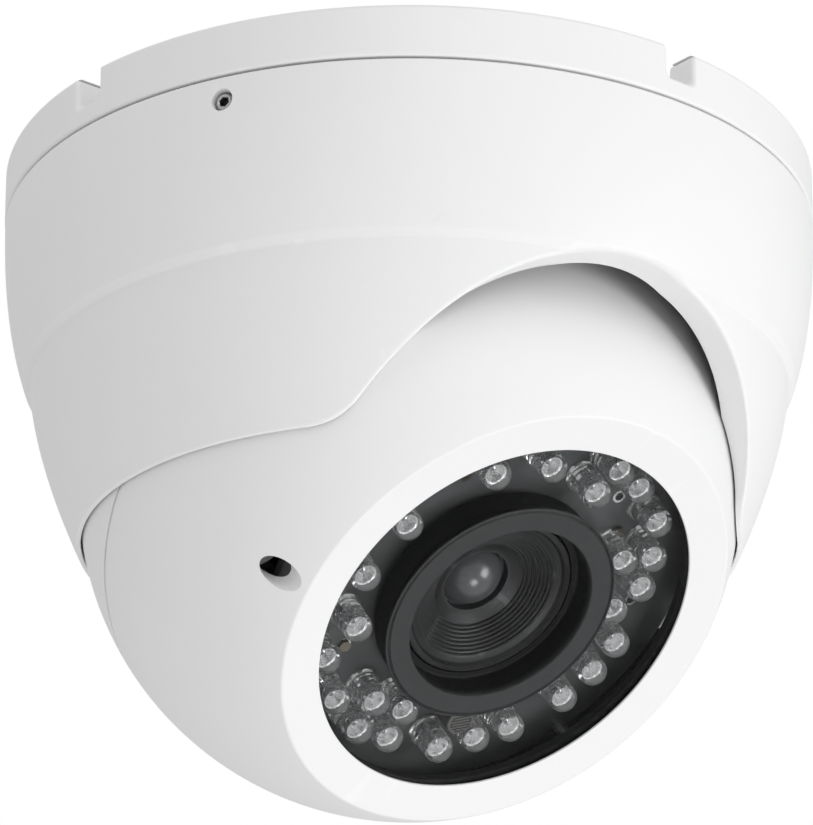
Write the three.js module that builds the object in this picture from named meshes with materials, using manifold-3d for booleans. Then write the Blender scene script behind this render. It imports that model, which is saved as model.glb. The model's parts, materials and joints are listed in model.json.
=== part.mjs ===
// Ceiling-mounted dome camera of the turning-eyeball kind, with a ring of infrared lamps behind
// a flat window. Millimetres, +Z up. The origin is the centre of the face that meets the ceiling,
// the camera hangs below it, and the lens looks towards -Y and down.
//
// The pieces nest in five turned groups: base, cover, eye (its local +Z is the optical axis),
// and inside the eye the two lens cells.

import * as THREE from 'three';
import { mergeVertices } from 'three/addons/utils/BufferGeometryUtils.js';
import Module from 'manifold-3d';

const wasm = await Module();
wasm.setup();

const DEG = Math.PI / 180;

// ---------------------------------------------------------------- driving dimensions

const CLEAR = 0.3;            // gap between pieces that meet

// rest pose, degrees
const TILT = 37.7;            // optical axis, from straight down
const COVER_TURN = -10;       // cover's scoop, round Z from the lens direction
const BASE_TURN = -4;         // base's cable notches, round Z from the lens direction

// eyeball
const BALL_R = 54.6;
const BALL_GAP = 0.35;        // running gap between ball and cover
const BALL_TOP_GAP = 1.0;     // from the top of the full sphere to the ceiling
const SHELL_T = 2.5;          // wall of both half shells
const SPLIT = 0.15;           // half of the parting gap between them
const REAR_EDGE = 63.5;       // where the rear shell leaves the sphere, degrees from the rear axis
const REAR_CUP_R = 38;
const REAR_CUP_DROP = 11.6;   // depth of the rear cup behind the sphere zone

// base
const RIM_REACH = 13.4;       // rim beyond the ball
const RIM_H = 9.1;
const RIM_WALL = 5.5;
const RECESS_D = 5.6;         // cable recess on the ceiling side
const WEB_T = 2.0;
const HUB_R = 30;             // flat centre of the ceiling face
const COLLAR_T = 1.8;
const COLLAR_H = 31;
const GUIDE_R_GAP = 7.0;      // cover guide ring inside the rim radius
const GUIDE_H = 18;
const NOTCH_W = 5.6;
const NOTCH_COUNT = 4;
const CABLE_HOLE_R = 6.5;
const CABLE_HOLE_AT = 43;     // radius of the cable hole's centre
const FIX_HOLE_R = 2.3;
const FIX_HOLE_AT = 47;
const FIX_COUNT = 3;

// cover
const SEAM = 0.4;             // shadow gap under the rim
const COVER_WALL = 2.6;
const COVER_INSET = 0.1;      // skirt inside the rim radius
const RIDGE_UP = 18.6;        // ridge above the ball centre
const RIDGE_IN = 3.8;         // ridge inside the rim radius
const RIDGE_STEP = 1.1;
const RIDGE_STEP_H = 1.4;
const LIP_DROP = 10.4;        // lip below the ball centre
const LIP_T = 0.75;
const SCOOP_R = 40.3;
const SCOOP_APEX_UP = 18.5;   // top of the scoop above the ball centre
const SCOOP_FILLET = 6;
const SCOOP_DEPTH = 5.7;      // scoop flange, inwards from the outer face
const SCOOP_WALL = 2.4;
const SET_SCREW_R = 1.5;
const SET_SCREW_DROP = 13.5;  // below the ceiling
const SET_SCREW_COUNT = 3;

// window and lamp board
const LENS_R = 14.8;          // front cell of the lens
const HOOD_W = 5.4;           // rubber hood round it
const HOOD_H = 6.2;
const HOOD_FLANGE = 0.3;       // thin flange at the hood's front, beyond its radius
const HOOD_BORE = 16.2;        // wide front bore of the hood
const LAMP_ZONE = 12.9;       // from the hood to the window's edge
const BEZEL_W = 6.7;
const BEZEL_DISH = 0.5;        // fall of the bezel towards the window
const BEZEL_LIP = 0.5;        // lip in front of the glass
const GLASS_T = 1.0;
const GLASS_SEAT = 1.8;       // glass beyond the window's edge
const GASKET_H = 1.8;
const BEZEL_T = 5.0;          // front of the shell, to its inner face
const LAMP_R = 2.5;
const LAMP_H = 7.7;
const LAMP_TO_GLASS = 0.3;
const LIGHT_SENSOR_H = 5.6;
const ELEMENT_SEAT = 2.05;      // seat of the front element, below the lamp board's face
const BOARD_T = 1.6;
const SENSOR_R = 2.4;

// lens
const BARREL_LEN = 20;
const BARREL_T = 2.5;
const RING_W = 4.6;           // focus and zoom rings, along the axis
const RING_T = 2.6;
const ELEMENT_R = 6.9;
const CELL_STROKE = 1.3;      // free room behind the front cell
const MOUNT_H = 8;
const MOUNT_HALF = 13.5;
const CHIP_HALF = 5;

// inner boards
const CARD_HALF = 21;
const POST_AT = 17.5;         // posts' x and y
const POST_R = 2.0;
const CARD_GAP = 7;

// shell screws
const SHELL_SCREW_ANGLE = 9;  // degrees, the other opposite
const SHELL_SCREW_INSET = 11.5;
const SHELL_BORE_R = 2.35;
const SHELL_BORE_DEPTH = 11.5;
const CLAMP_T = 3;

// facets round a full turn
const ROUND = 40;
const ROUND_MID = 24;
const ROUND_SMALL = 10;

// ---------------------------------------------------------------- sizes that follow

const BALL_Z = -(BALL_R + BALL_TOP_GAP);
const RIM_R = BALL_R + RIM_REACH;
const GUIDE_R = RIM_R - GUIDE_R_GAP;
const COLLAR_IN = BALL_R + 2 * CLEAR;
const COLLAR_OUT = COLLAR_IN + COLLAR_T;
const SKIRT_R = RIM_R - COVER_INSET;
const SKIRT_Z = -(RIM_H + SEAM);
const RIDGE_Z = BALL_Z + RIDGE_UP;
const RIDGE_R = RIM_R - RIDGE_IN;
const LIP_Z = BALL_Z - LIP_DROP;
const BORE_R = BALL_R + BALL_GAP;
const HOOD_R = LENS_R + HOOD_W;
const WINDOW_R = HOOD_R + LAMP_ZONE;
const BEZEL_R = WINDOW_R + BEZEL_W;
const BEZEL_TOP = Math.sqrt(BALL_R ** 2 - BEZEL_R ** 2);
const GLASS_TOP = BEZEL_TOP - BEZEL_DISH - BEZEL_LIP;
const GLASS_BACK = GLASS_TOP - GLASS_T;
const BOARD_TOP = GLASS_BACK - LAMP_TO_GLASS - LAMP_H;
const BOARD_R = WINDOW_R + 5.3;
const SEAT_TOP = BOARD_TOP - ELEMENT_SEAT;
const CELL_TOP = SEAT_TOP + 5;
const CELL_BACK = SEAT_TOP - 2;
const BARREL_TOP = CELL_BACK - CELL_STROKE;
const BARREL_BACK = BARREL_TOP - BARREL_LEN;
const BARREL_R = LENS_R;
const CARRIER_R = BARREL_R - BARREL_T - CLEAR;
const FOCUS_TOP = BARREL_TOP - 2;
const ZOOM_TOP = FOCUS_TOP - RING_W - 3;
const MOUNT_BACK = BARREL_BACK - CLEAR - MOUNT_H;
const CARD_TOP = MOUNT_BACK - CLEAR;
const MAIN_TOP = CARD_TOP - BOARD_T - CARD_GAP;
const SHELL_SCREW_AT = BALL_R - SHELL_SCREW_INSET;
const SHELL_IN = BALL_R - SHELL_T;
const REAR_ZONE_H = BALL_R * Math.cos(REAR_EDGE * DEG);
const REAR_ZONE_R = BALL_R * Math.sin(REAR_EDGE * DEG);
const REAR_BACK = REAR_ZONE_H + REAR_CUP_DROP;

// Lamps stand on rings round the lens: radius beyond the hood, then the angles on that ring.
const LAMP_RINGS = [
  [2.8, [16.5, 41, 262]],
  [4.6, [81.5, 207.5, 247.5]],
  [6.8, [2, 26, 106, 127.5, 162.5, 185.5, 300, 313.5, 335, 349]],
  [8.2, [38, 265, 286.5]],
  [9.8, [51.5, 68.5, 80, 218, 236, 252.5]],
];
const LIGHT_SENSOR_RING = 3.0;
const LIGHT_SENSOR_ANGLE = 292;

// ---------------------------------------------------------------- materials

function finish(color, roughness, metalness) {
  return new THREE.MeshStandardMaterial({ color, roughness, metalness });
}

const whitePaint = finish(0xf2f3f4, 0.42, 0.05);
const steel = finish(0xb9bcc0, 0.3, 0.95);
const blackRubber = finish(0x141414, 0.85, 0);
const greyRubber = finish(0x55585b, 0.8, 0);
const clearGlass = finish(0xdfe6ea, 0.05, 0);
const lensGlass = finish(0x6f7d8c, 0.03, 0);
const lampBoard = finish(0x3d3f41, 0.5, 0);
const greenBoard = finish(0x1f5a38, 0.5, 0);
const blackMetal = finish(0x1b1c1e, 0.45, 0.6);
const blackPlastic = finish(0x202123, 0.55, 0);
const brass = finish(0xc4a35a, 0.35, 0.9);
const sensorFace = finish(0xb5803a, 0.5, 0);
const chipBody = finish(0x2a2d33, 0.3, 0.1);

// ---------------------------------------------------------------- solids

// A closed solid from any closed geometry, with its faces pointing out.
function solid(geometry) {
  geometry.deleteAttribute('normal');
  geometry.deleteAttribute('uv');
  const merged = mergeVertices(geometry, 1e-4);
  const vertProperties = new Float32Array(merged.attributes.position.array);
  const corners = merged.index.array;
  const triVerts = [];
  let volume = 0;
  for (let i = 0; i < corners.length; i += 3) {
    const [a, b, c] = [corners[i], corners[i + 1], corners[i + 2]];
    if (a === b || b === c || c === a) continue;
    triVerts.push(a, b, c);
    const [pa, pb, pc] = [a, b, c].map((k) => new THREE.Vector3().fromArray(vertProperties, 3 * k));
    volume += pa.dot(pb.cross(pc));
  }
  if (volume < 0) triVerts.reverse();
  return new wasm.Manifold(new wasm.Mesh({
    numProp: 3,
    vertProperties,
    triVerts: new Uint32Array(triVerts),
  }));
}

// A profile of [radius, height] points, closed on itself or by the axis, turned round Z.
function turned(profile, segments = ROUND) {
  const points = profile.map(([r, z]) => new THREE.Vector2(r, z));
  const closed = profile[0][0] === 0 && profile[profile.length - 1][0] === 0;
  if (!closed) points.push(points[0].clone());
  return solid(new THREE.LatheGeometry(points, segments).rotateX(Math.PI / 2));
}

function rod(radius, low, high, segments = ROUND_SMALL) {
  return turned([[0, low], [radius, low], [radius, high], [0, high]], segments);
}

function tube(inner, outer, low, high, segments = ROUND) {
  return turned([[inner, low], [outer, low], [outer, high], [inner, high]], segments);
}

function block(sizeX, sizeY, low, high) {
  return solid(new THREE.BoxGeometry(sizeX, sizeY, high - low).translate(0, 0, (low + high) / 2));
}

// Points on a circle about (0, centre): from one angle to another, measured from the +Z axis.
function arc(radius, centre, from, to, steps) {
  return Array.from({ length: steps + 1 }, (_, i) => {
    const angle = (from + (to - from) * i / steps) * DEG;
    return [radius * Math.sin(angle), centre + radius * Math.cos(angle)];
  });
}

// Points on a quadratic curve, both ends included.
function curve(start, pull, end, steps) {
  const path = new THREE.QuadraticBezierCurve(
    new THREE.Vector2(...start), new THREE.Vector2(...pull), new THREE.Vector2(...end));
  return path.getPoints(steps).map((p) => [p.x, p.y]);
}

// A place at a radius and an angle in degrees from +X.
function polar(radius, angle) {
  return [radius * Math.cos(angle * DEG), radius * Math.sin(angle * DEG)];
}

function moved(shape, x, y, z = 0) {
  return shape.translate([x, y, z]);
}

function named(name, shape, material) {
  const { vertProperties, triVerts } = shape.getMesh();
  const geometry = new THREE.BufferGeometry();
  geometry.setAttribute('position', new THREE.BufferAttribute(vertProperties, 3));
  geometry.setIndex(new THREE.BufferAttribute(triVerts, 1));
  geometry.computeVertexNormals();
  const mesh = new THREE.Mesh(geometry, material);
  mesh.name = name;
  return mesh;
}

// ---------------------------------------------------------------- base

const SEAL_R = GUIDE_R + 2.5;
const SEAL_W = 1.1;

function mountingBase() {
  const seatTop = COLLAR_H - 6.1;
  const profile = [
    [0, 0], [HUB_R, 0], [HUB_R, -RECESS_D], [RIM_R - RIM_WALL, -RECESS_D], [RIM_R - RIM_WALL, 0],
    [RIM_R - 0.4, 0], [RIM_R, -0.4], [RIM_R, -RIM_H],
    [SEAL_R + SEAL_W + CLEAR, -RIM_H], [SEAL_R + SEAL_W + CLEAR, -RIM_H + 1.5],
    [SEAL_R - SEAL_W - CLEAR, -RIM_H + 1.5], [SEAL_R - SEAL_W - CLEAR, -RIM_H],
    [GUIDE_R, -RIM_H], [GUIDE_R, -GUIDE_H], [COLLAR_OUT, -GUIDE_H - 1.5],
    [COLLAR_OUT, -COLLAR_H], [COLLAR_IN, -COLLAR_H], [COLLAR_IN, -seatTop],
    [COLLAR_IN - 2.2, -seatTop], [COLLAR_IN - 2.2, -seatTop + 2.5], [COLLAR_IN, -seatTop + 4.5],
    [COLLAR_IN, -RECESS_D - WEB_T], [HUB_R - WEB_T, -RECESS_D - WEB_T], [HUB_R - WEB_T, -WEB_T],
    [0, -WEB_T],
  ];
  let base = turned(profile);
  const notch = solid(new THREE.BoxGeometry(NOTCH_W, 2 * RIM_WALL, 2 * RECESS_D));
  for (let i = 0; i < NOTCH_COUNT; i++) {
    const turn = BASE_TURN + i * 360 / NOTCH_COUNT;
    base = base.subtract(moved(notch, 0, -RIM_R).rotate([0, 0, turn]));
  }
  const cableHole = rod(CABLE_HOLE_R, -RECESS_D - 2 * WEB_T, 0, 14);
  base = base.subtract(moved(cableHole, ...cablePlace()));
  const fixHole = rod(FIX_HOLE_R, -RECESS_D - 2 * WEB_T, 0);
  for (let i = 0; i < FIX_COUNT; i++) {
    const place = polar(FIX_HOLE_AT, 30 + BASE_TURN + i * 360 / FIX_COUNT);
    base = base.subtract(moved(fixHole, ...place));
  }
  return named('mounting_base', base, whitePaint);
}

function cablePlace() {
  return polar(CABLE_HOLE_AT, 90 + BASE_TURN);
}

function cableGrommet() {
  const neck = CABLE_HOLE_R - CLEAR;
  const flange = CABLE_HOLE_R + 1.8;
  const floor = -RECESS_D;
  const bore = 3.6;
  const profile = [
    [bore, floor + 1.6], [bore, floor - WEB_T - 2], [flange, floor - WEB_T - 2],
    [flange, floor - WEB_T - CLEAR], [neck, floor - WEB_T - CLEAR], [neck, floor + CLEAR],
    [flange, floor + CLEAR], [flange, floor + 1.6],
  ];
  return named('cable_grommet', moved(turned(profile, 14), ...cablePlace()), blackRubber);
}

function coverSeal() {
  const low = -RIM_H - 0.1;
  const seal = tube(SEAL_R - SEAL_W, SEAL_R + SEAL_W, low, -RIM_H + 1.5 - CLEAR);
  return named('cover_seal', seal, blackRubber);
}

// Rubber ring at the foot of the collar; the ball is nipped between it and the cover's lip.
function ballSeat() {
  const low = -COLLAR_H + CLEAR;
  const high = -COLLAR_H + 6.1 - CLEAR;
  const onBall = (z) => Math.sqrt(BORE_R ** 2 - (z - BALL_Z) ** 2) + 0.1;
  const outer = COLLAR_IN - CLEAR;
  const seat = turned([[onBall(low), low], [outer, low], [outer, high], [onBall(high), high]]);
  return named('ball_seat', seat, blackRubber);
}

// ---------------------------------------------------------------- cover

function lipInner() {
  return Math.sqrt(BORE_R ** 2 - LIP_DROP ** 2);
}

// Outer face of the cover from its top edge to its lip, moved inwards by an amount.
function coverFace(inset) {
  const top = [SKIRT_R - inset, SKIRT_Z];
  const ridge = [RIDGE_R - inset, RIDGE_Z];
  const below = [RIDGE_R - RIDGE_STEP - inset, RIDGE_Z - RIDGE_STEP_H];
  const lip = [lipInner() + LIP_T - inset, LIP_Z];
  const upper = curve(top, [SKIRT_R - inset, RIDGE_Z + 11], ridge, 3);
  const lower = curve(below, [below[0] - 1.15, RIDGE_Z - 12.9], lip, 4);
  return [...upper, ...lower];
}

function setScrewPlace(i) {
  return -90 - 60 + i * 360 / SET_SCREW_COUNT;
}

// A cylinder lying along a radius, from one distance to another.
function radial(radius, from, to, angle, z, segments = ROUND_SMALL) {
  const lying = rod(radius, from, to, segments).rotate([0, 90, 0]);
  return lying.rotate([0, 0, angle]).translate([0, 0, z]);
}

// The scoop's outline across the cover, with fillets where it runs out into the lip.
function scoopCutter() {
  const centre = BALL_Z + SCOOP_APEX_UP - SCOOP_R;
  const filletZ = LIP_Z + SCOOP_FILLET;
  const filletX = Math.sqrt((SCOOP_R + SCOOP_FILLET) ** 2 - (filletZ - centre) ** 2);
  const meet = Math.atan2(filletZ - centre, filletX);
  const outline = new THREE.Shape();
  outline.moveTo(-filletX, LIP_Z - 20);
  outline.lineTo(-filletX, LIP_Z);
  outline.absarc(-filletX, filletZ, SCOOP_FILLET, -Math.PI / 2, -meet, false);
  outline.absarc(0, centre, SCOOP_R, Math.PI - meet, meet, true);
  outline.absarc(filletX, filletZ, SCOOP_FILLET, Math.PI + meet, 1.5 * Math.PI, false);
  outline.lineTo(filletX, LIP_Z - 20);
  return outline;
}

function alongFront(shape, length, curveSegments) {
  const bar = new THREE.ExtrudeGeometry(shape, { depth: length, bevelEnabled: false, curveSegments });
  return solid(bar.rotateX(Math.PI / 2));
}

function coverShell() {
  const guideIn = GUIDE_R + CLEAR;
  const wallFoot = BALL_Z - 1;
  const inner = coverFace(COVER_WALL).filter(([, z]) => z > wallFoot);
  const seat = arc(BORE_R, BALL_Z, 91.5, 90 + Math.asin(LIP_DROP / BORE_R) / DEG, 2);
  const skin = [
    ...coverFace(0),
    ...seat.reverse(),
    ...inner.slice(1).reverse(),
    [SKIRT_R - COVER_WALL, SKIRT_Z - 3],
    [guideIn, SKIRT_Z - 3],
    [guideIn, SKIRT_Z],
  ];
  let cover = turned(skin);
  const centre = BALL_Z + SCOOP_APEX_UP - SCOOP_R;
  const front = RIM_R + 5;
  const ring = new THREE.Shape();
  ring.absarc(0, centre, SCOOP_R + SCOOP_WALL, 0, Math.PI, false);
  const flange = alongFront(ring, front, 16);
  const band = turned([...coverFace(0), ...coverFace(SCOOP_DEPTH).reverse()]);
  const ballRoom = turned([[0, RIDGE_Z + 5], ...arc(BORE_R + 0.1, BALL_Z, 60, 105, 8), [0, LIP_Z - 1]]);
  const collarRoom = rod(COLLAR_OUT + 2 * CLEAR, -COLLAR_H - CLEAR, 0, ROUND);
  cover = cover.add(flange.intersect(band).subtract(ballRoom).subtract(collarRoom));
  for (let i = 0; i < SET_SCREW_COUNT; i++) {
    const boss = radial(3.6, guideIn + 0.2, SKIRT_R - 1, setScrewPlace(i), -SET_SCREW_DROP);
    cover = cover.add(boss);
  }
  for (let i = 0; i < SET_SCREW_COUNT; i++) {
    const hole = radial(SET_SCREW_R + CLEAR, guideIn - 2, RIM_R + 2, setScrewPlace(i), -SET_SCREW_DROP);
    cover = cover.subtract(hole);
  }
  cover = cover.subtract(alongFront(scoopCutter(), front, 14));
  return named('cover_shell', cover, whitePaint);
}

function setScrew(i) {
  const tip = GUIDE_R + CLEAR;
  const head = SKIRT_R - 0.8;
  const socket = rod(0.8, 0, 2, 6).rotate([0, 90, 0]);
  let screw = rod(SET_SCREW_R, tip, head).rotate([0, 90, 0]);
  screw = screw.subtract(socket.translate([head - 1.6, 0, 0]));
  const turn = setScrewPlace(i);
  return named(`set_screw_${i + 1}`, screw.rotate([0, 0, turn]).translate([0, 0, -SET_SCREW_DROP]), steel);
}

// ---------------------------------------------------------------- eye: rear half

const FLANGE_IN = SHELL_SCREW_AT + 2.4;
const FLANGE_TOP = -1.2;
const FLANGE_LOW = FLANGE_TOP - SHELL_T;
const GLAND_R = 5;

function rearShell() {
  const inside = Math.acos((REAR_ZONE_H - SHELL_T) / SHELL_IN) / DEG;
  const profile = [
    [GLAND_R + CLEAR, -REAR_BACK],
    [REAR_CUP_R, -REAR_BACK],
    [REAR_CUP_R + 2, -REAR_ZONE_H - 2],
    [REAR_ZONE_R - 2, -REAR_ZONE_H],
    ...arc(BALL_R, 0, 180 - REAR_EDGE, 90 + SPLIT / BALL_R / DEG, 3),
    [SHELL_IN, -SPLIT],
    [SHELL_IN, FLANGE_TOP],
    [FLANGE_IN, FLANGE_TOP],
    [FLANGE_IN, FLANGE_LOW],
    [SHELL_IN - 0.4, FLANGE_LOW],
    ...arc(SHELL_IN, 0, 98, 180 - inside, 3),
    [REAR_CUP_R + 2 - SHELL_T, -REAR_ZONE_H + SHELL_T - 2],
    [REAR_CUP_R - SHELL_T, -REAR_BACK + SHELL_T],
    [GLAND_R + CLEAR, -REAR_BACK + SHELL_T],
  ];
  return named('rear_shell', turned(profile), whitePaint);
}

function rearGland() {
  const bore = 3;
  const back = -REAR_BACK;
  const profile = [
    [bore, back - 3], [GLAND_R + 2, back - 3], [GLAND_R + 2, back - CLEAR],
    [GLAND_R, back - CLEAR], [GLAND_R, back + SHELL_T + CLEAR],
    [GLAND_R + 1.6, back + SHELL_T + CLEAR], [GLAND_R + 1.6, back + SHELL_T + 2],
    [bore, back + SHELL_T + 2],
  ];
  return named('rear_gland', turned(profile, 14), blackRubber);
}

// ---------------------------------------------------------------- eye: front half

function shellScrewPlace(i) {
  return polar(SHELL_SCREW_AT, SHELL_SCREW_ANGLE + 180 * i);
}

function boardScrewPlace(i) {
  return polar(BOARD_R - 1.4, 90 + 120 * i);
}

function frontShell() {
  const seatR = WINDOW_R + GLASS_SEAT + CLEAR;
  const backOfBezel = BEZEL_TOP - BEZEL_T;
  const bezelAngle = Math.asin(BEZEL_R / BALL_R) / DEG;
  const insideAngle = Math.acos(backOfBezel / SHELL_IN) / DEG;
  const profile = [
    ...arc(BALL_R, 0, 90 - SPLIT / BALL_R / DEG, bezelAngle, 5),
    [WINDOW_R + 0.2, BEZEL_TOP - BEZEL_DISH],
    [WINDOW_R, BEZEL_TOP - BEZEL_DISH - 0.1],
    [WINDOW_R, GLASS_TOP + CLEAR / 2],
    [seatR, GLASS_TOP + CLEAR / 2],
    [seatR, GLASS_BACK],
    [seatR + 0.8, backOfBezel],
    ...arc(SHELL_IN, 0, insideAngle, 90 - SPLIT / SHELL_IN / DEG, 4),
  ];
  let shell = turned(profile);
  const envelope = turned(arc(BALL_R - 1, 0, 0, 90, 8).concat([[0, 0]]));
  for (let i = 0; i < 2; i++) {
    const place = shellScrewPlace(i);
    const boss = rod(4.2, CLEAR, BALL_R, 16);
    shell = shell.add(moved(boss, ...place).intersect(envelope));
  }
  for (let i = 0; i < 3; i++) {
    const boss = rod(2, BOARD_TOP + CLEAR, backOfBezel + CLEAR, 10);
    shell = shell.add(moved(boss, ...boardScrewPlace(i)));
  }
  const mouth = Math.sqrt(BALL_R ** 2 - SHELL_SCREW_AT ** 2);
  for (let i = 0; i < 2; i++) {
    const place = shellScrewPlace(i);
    const bore = rod(SHELL_BORE_R, mouth - SHELL_BORE_DEPTH, BALL_R, 16);
    const pilot = rod(1.6, -1, mouth, 10);
    shell = shell.subtract(moved(bore, ...place)).subtract(moved(pilot, ...place));
  }
  for (let i = 0; i < 3; i++) {
    const pilot = rod(1.1 + CLEAR, BOARD_TOP - 1, BOARD_TOP + 5, 8);
    shell = shell.subtract(moved(pilot, ...boardScrewPlace(i)));
  }
  return named('front_shell', shell, whitePaint);
}

function shellSeal() {
  const outer = SHELL_IN - 0.5;
  return named('shell_seal', tube(outer - 2, outer, FLANGE_TOP + CLEAR, 0.6), blackRubber);
}

// Ring behind the rear shell's flange. The two shell screws draw the front half on to it, and
// with them slack the front half turns to level the picture.
function rollClampRing() {
  const top = FLANGE_LOW - CLEAR;
  let ring = tube(SHELL_SCREW_AT - 3.4, SHELL_SCREW_AT + 6, top - CLAMP_T, top);
  for (let i = 0; i < 2; i++) {
    ring = ring.subtract(moved(rod(1.25 + CLEAR, top - 2 * CLAMP_T, top + 1, 10), ...shellScrewPlace(i)));
  }
  return named('roll_clamp_ring', ring, steel);
}

function shellScrew(i) {
  const mouth = Math.sqrt(BALL_R ** 2 - SHELL_SCREW_AT ** 2);
  const under = mouth - SHELL_BORE_DEPTH + CLEAR;
  let screw = turned([
    [0, FLANGE_LOW - CLAMP_T - 1.5], [1.25, FLANGE_LOW - CLAMP_T - 1.5], [1.25, under],
    [2.0, under], [2.0, under + 1.4], [1.5, under + 2], [0, under + 2],
  ], ROUND_SMALL);
  const slotA = block(2.4, 0.6, under + 1, under + 3);
  const slotB = block(0.6, 2.4, under + 1, under + 3);
  screw = screw.subtract(slotA).subtract(slotB);
  return named(`shell_screw_${i + 1}`, moved(screw, ...shellScrewPlace(i)), steel);
}

function windowGlass() {
  const glass = rod(WINDOW_R + GLASS_SEAT, GLASS_BACK, GLASS_TOP - CLEAR / 2, ROUND);
  return named('window_glass', glass, clearGlass);
}

function windowGasket() {
  const inner = WINDOW_R + 0.4;
  const top = GLASS_BACK - CLEAR;
  const gasket = tube(inner, WINDOW_R + GLASS_SEAT, top - GASKET_H, top);
  return named('window_gasket', gasket, blackRubber);
}

function lamp() {
  const spring = LAMP_H - LAMP_R;
  return turned([[0, -0.5], [LAMP_R, -0.5], ...arc(LAMP_R, spring, 90, 0, 2)], 7);
}

function ledBoard() {
  let board = tube(LENS_R + 1, BOARD_R, BOARD_TOP - BOARD_T, BOARD_TOP);
  for (const [beyond, angles] of LAMP_RINGS) {
    for (const angle of angles) {
      board = board.add(moved(lamp(), ...polar(HOOD_R + beyond, angle), BOARD_TOP));
    }
  }
  for (let i = 0; i < 3; i++) {
    const hole = rod(1.1 + CLEAR, BOARD_TOP - 2 * BOARD_T, BOARD_TOP + 1, 8);
    board = board.subtract(moved(hole, ...boardScrewPlace(i)));
  }
  for (let i = 0; i < 4; i++) {
    const hole = rod(1.1 + CLEAR, BOARD_TOP - 2 * BOARD_T, BOARD_TOP + 1, 8);
    board = board.subtract(moved(hole, ...postPlace(i)));
  }
  return named('led_board', board, lampBoard);
}

function lightSensor() {
  const place = polar(HOOD_R + LIGHT_SENSOR_RING, LIGHT_SENSOR_ANGLE);
  const can = rod(SENSOR_R, BOARD_TOP + CLEAR, BOARD_TOP + LIGHT_SENSOR_H, ROUND_SMALL);
  return named('light_sensor', moved(can, ...place), sensorFace);
}

function boardScrew(i) {
  const low = BOARD_TOP - BOARD_T - CLEAR;
  const screw = turned([
    [0, low - 1.4], [2, low - 1.4], [2, low], [1.1, low], [1.1, BOARD_TOP + 4.5], [0, BOARD_TOP + 4.5],
  ], 8);
  return named(`board_screw_${i + 1}`, moved(screw, ...boardScrewPlace(i)), steel);
}

function postPlace(i) {
  return polar(POST_AT * Math.SQRT2, 45 + 90 * i);
}

// Hexagonal posts that carry the lens and its boards from the lamp board.
function boardPost(i) {
  const high = BOARD_TOP - BOARD_T - CLEAR;
  const low = MAIN_TOP - BOARD_T - 1.5;
  const post = turned([
    [0, low], [1.1, low], [1.1, CARD_TOP + CLEAR], [POST_R, CARD_TOP + CLEAR],
    [POST_R, high], [1.1, high], [1.1, BOARD_TOP + 0.8], [0, BOARD_TOP + 0.8],
  ], 6);
  return named(`board_post_${i + 1}`, moved(post, ...postPlace(i)), brass);
}

function card(name, top) {
  let plate = block(2 * CARD_HALF, 2 * CARD_HALF, top - BOARD_T, top);
  for (let i = 0; i < 4; i++) {
    plate = plate.subtract(moved(rod(1.1 + CLEAR, top - 2 * BOARD_T, top + 1, 8), ...postPlace(i)));
  }
  return named(name, plate, greenBoard);
}

function cardSpacer(i) {
  const spacer = tube(1.1 + CLEAR, POST_R, MAIN_TOP + CLEAR, CARD_TOP - BOARD_T - CLEAR, 8);
  return named(`card_spacer_${i + 1}`, moved(spacer, ...postPlace(i)), brass);
}

function imageSensor() {
  const chip = block(2 * CHIP_HALF, 2 * CHIP_HALF, CARD_TOP + CLEAR, CARD_TOP + CLEAR + 1.6);
  return named('image_sensor', chip, chipBody);
}

function lensMount() {
  const high = BARREL_BACK - CLEAR;
  const hollow = block(2 * CHIP_HALF + 2, 2 * CHIP_HALF + 2, MOUNT_BACK - 1, MOUNT_BACK + 3);
  const light = rod(6, MOUNT_BACK - 1, high + 1, 20);
  const filterSeat = rod(7 + CLEAR, MOUNT_BACK + 4.5, high + 1, 20);
  const body = block(2 * MOUNT_HALF, 2 * MOUNT_HALF, MOUNT_BACK, high);
  return named('lens_mount', body.subtract(hollow).subtract(light).subtract(filterSeat), blackPlastic);
}

function irFilter() {
  const low = MOUNT_BACK + 4.5 + CLEAR;
  return named('ir_cut_filter', rod(7, low, low + 0.8, 20), lensGlass);
}

// ---------------------------------------------------------------- lens

const LOCK_R = 1.0;

function slot(z, halfWidth) {
  const cut = new THREE.BoxGeometry(2 * halfWidth, 2 * BARREL_R, RING_W - 1.6);
  return solid(cut.translate(0, BARREL_R, z - RING_W / 2));
}

function lensBarrel() {
  let barrel = tube(BARREL_R - BARREL_T, BARREL_R, BARREL_BACK, BARREL_TOP, ROUND_MID);
  barrel = barrel.subtract(slot(FOCUS_TOP, 4)).subtract(slot(ZOOM_TOP, 4));
  const rearFace = tube(6.5, BARREL_R - 1, BARREL_BACK, BARREL_BACK + 1.5, ROUND_MID);
  return named('lens_barrel', barrel.add(rearFace), blackMetal);
}

function gripRing(name, top) {
  const inner = BARREL_R + CLEAR;
  let ring = tube(inner, inner + RING_T, top - RING_W, top, ROUND_MID);
  const hole = radial(LOCK_R + CLEAR, inner - 2, inner + RING_T + 2, 90, top - RING_W / 2, 8);
  ring = ring.subtract(hole);
  return named(name, ring, blackMetal);
}

// Thumb screw that locks a ring: shank through the ring, knob outside it.
function lockScrew(name, top) {
  const inner = BARREL_R + 2 * CLEAR;
  const outer = BARREL_R + CLEAR + RING_T;
  const screw = turned([
    [0, inner], [LOCK_R, inner], [LOCK_R, outer + 0.5], [2, outer + 0.8], [2, outer + 3.2],
    [1.4, outer + 3.6], [0, outer + 3.6],
  ], 10);
  const lying = screw.rotate([0, 90, 0]).rotate([0, 0, 90]).translate([0, 0, top - RING_W / 2]);
  return named(name, lying, steel);
}

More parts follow.
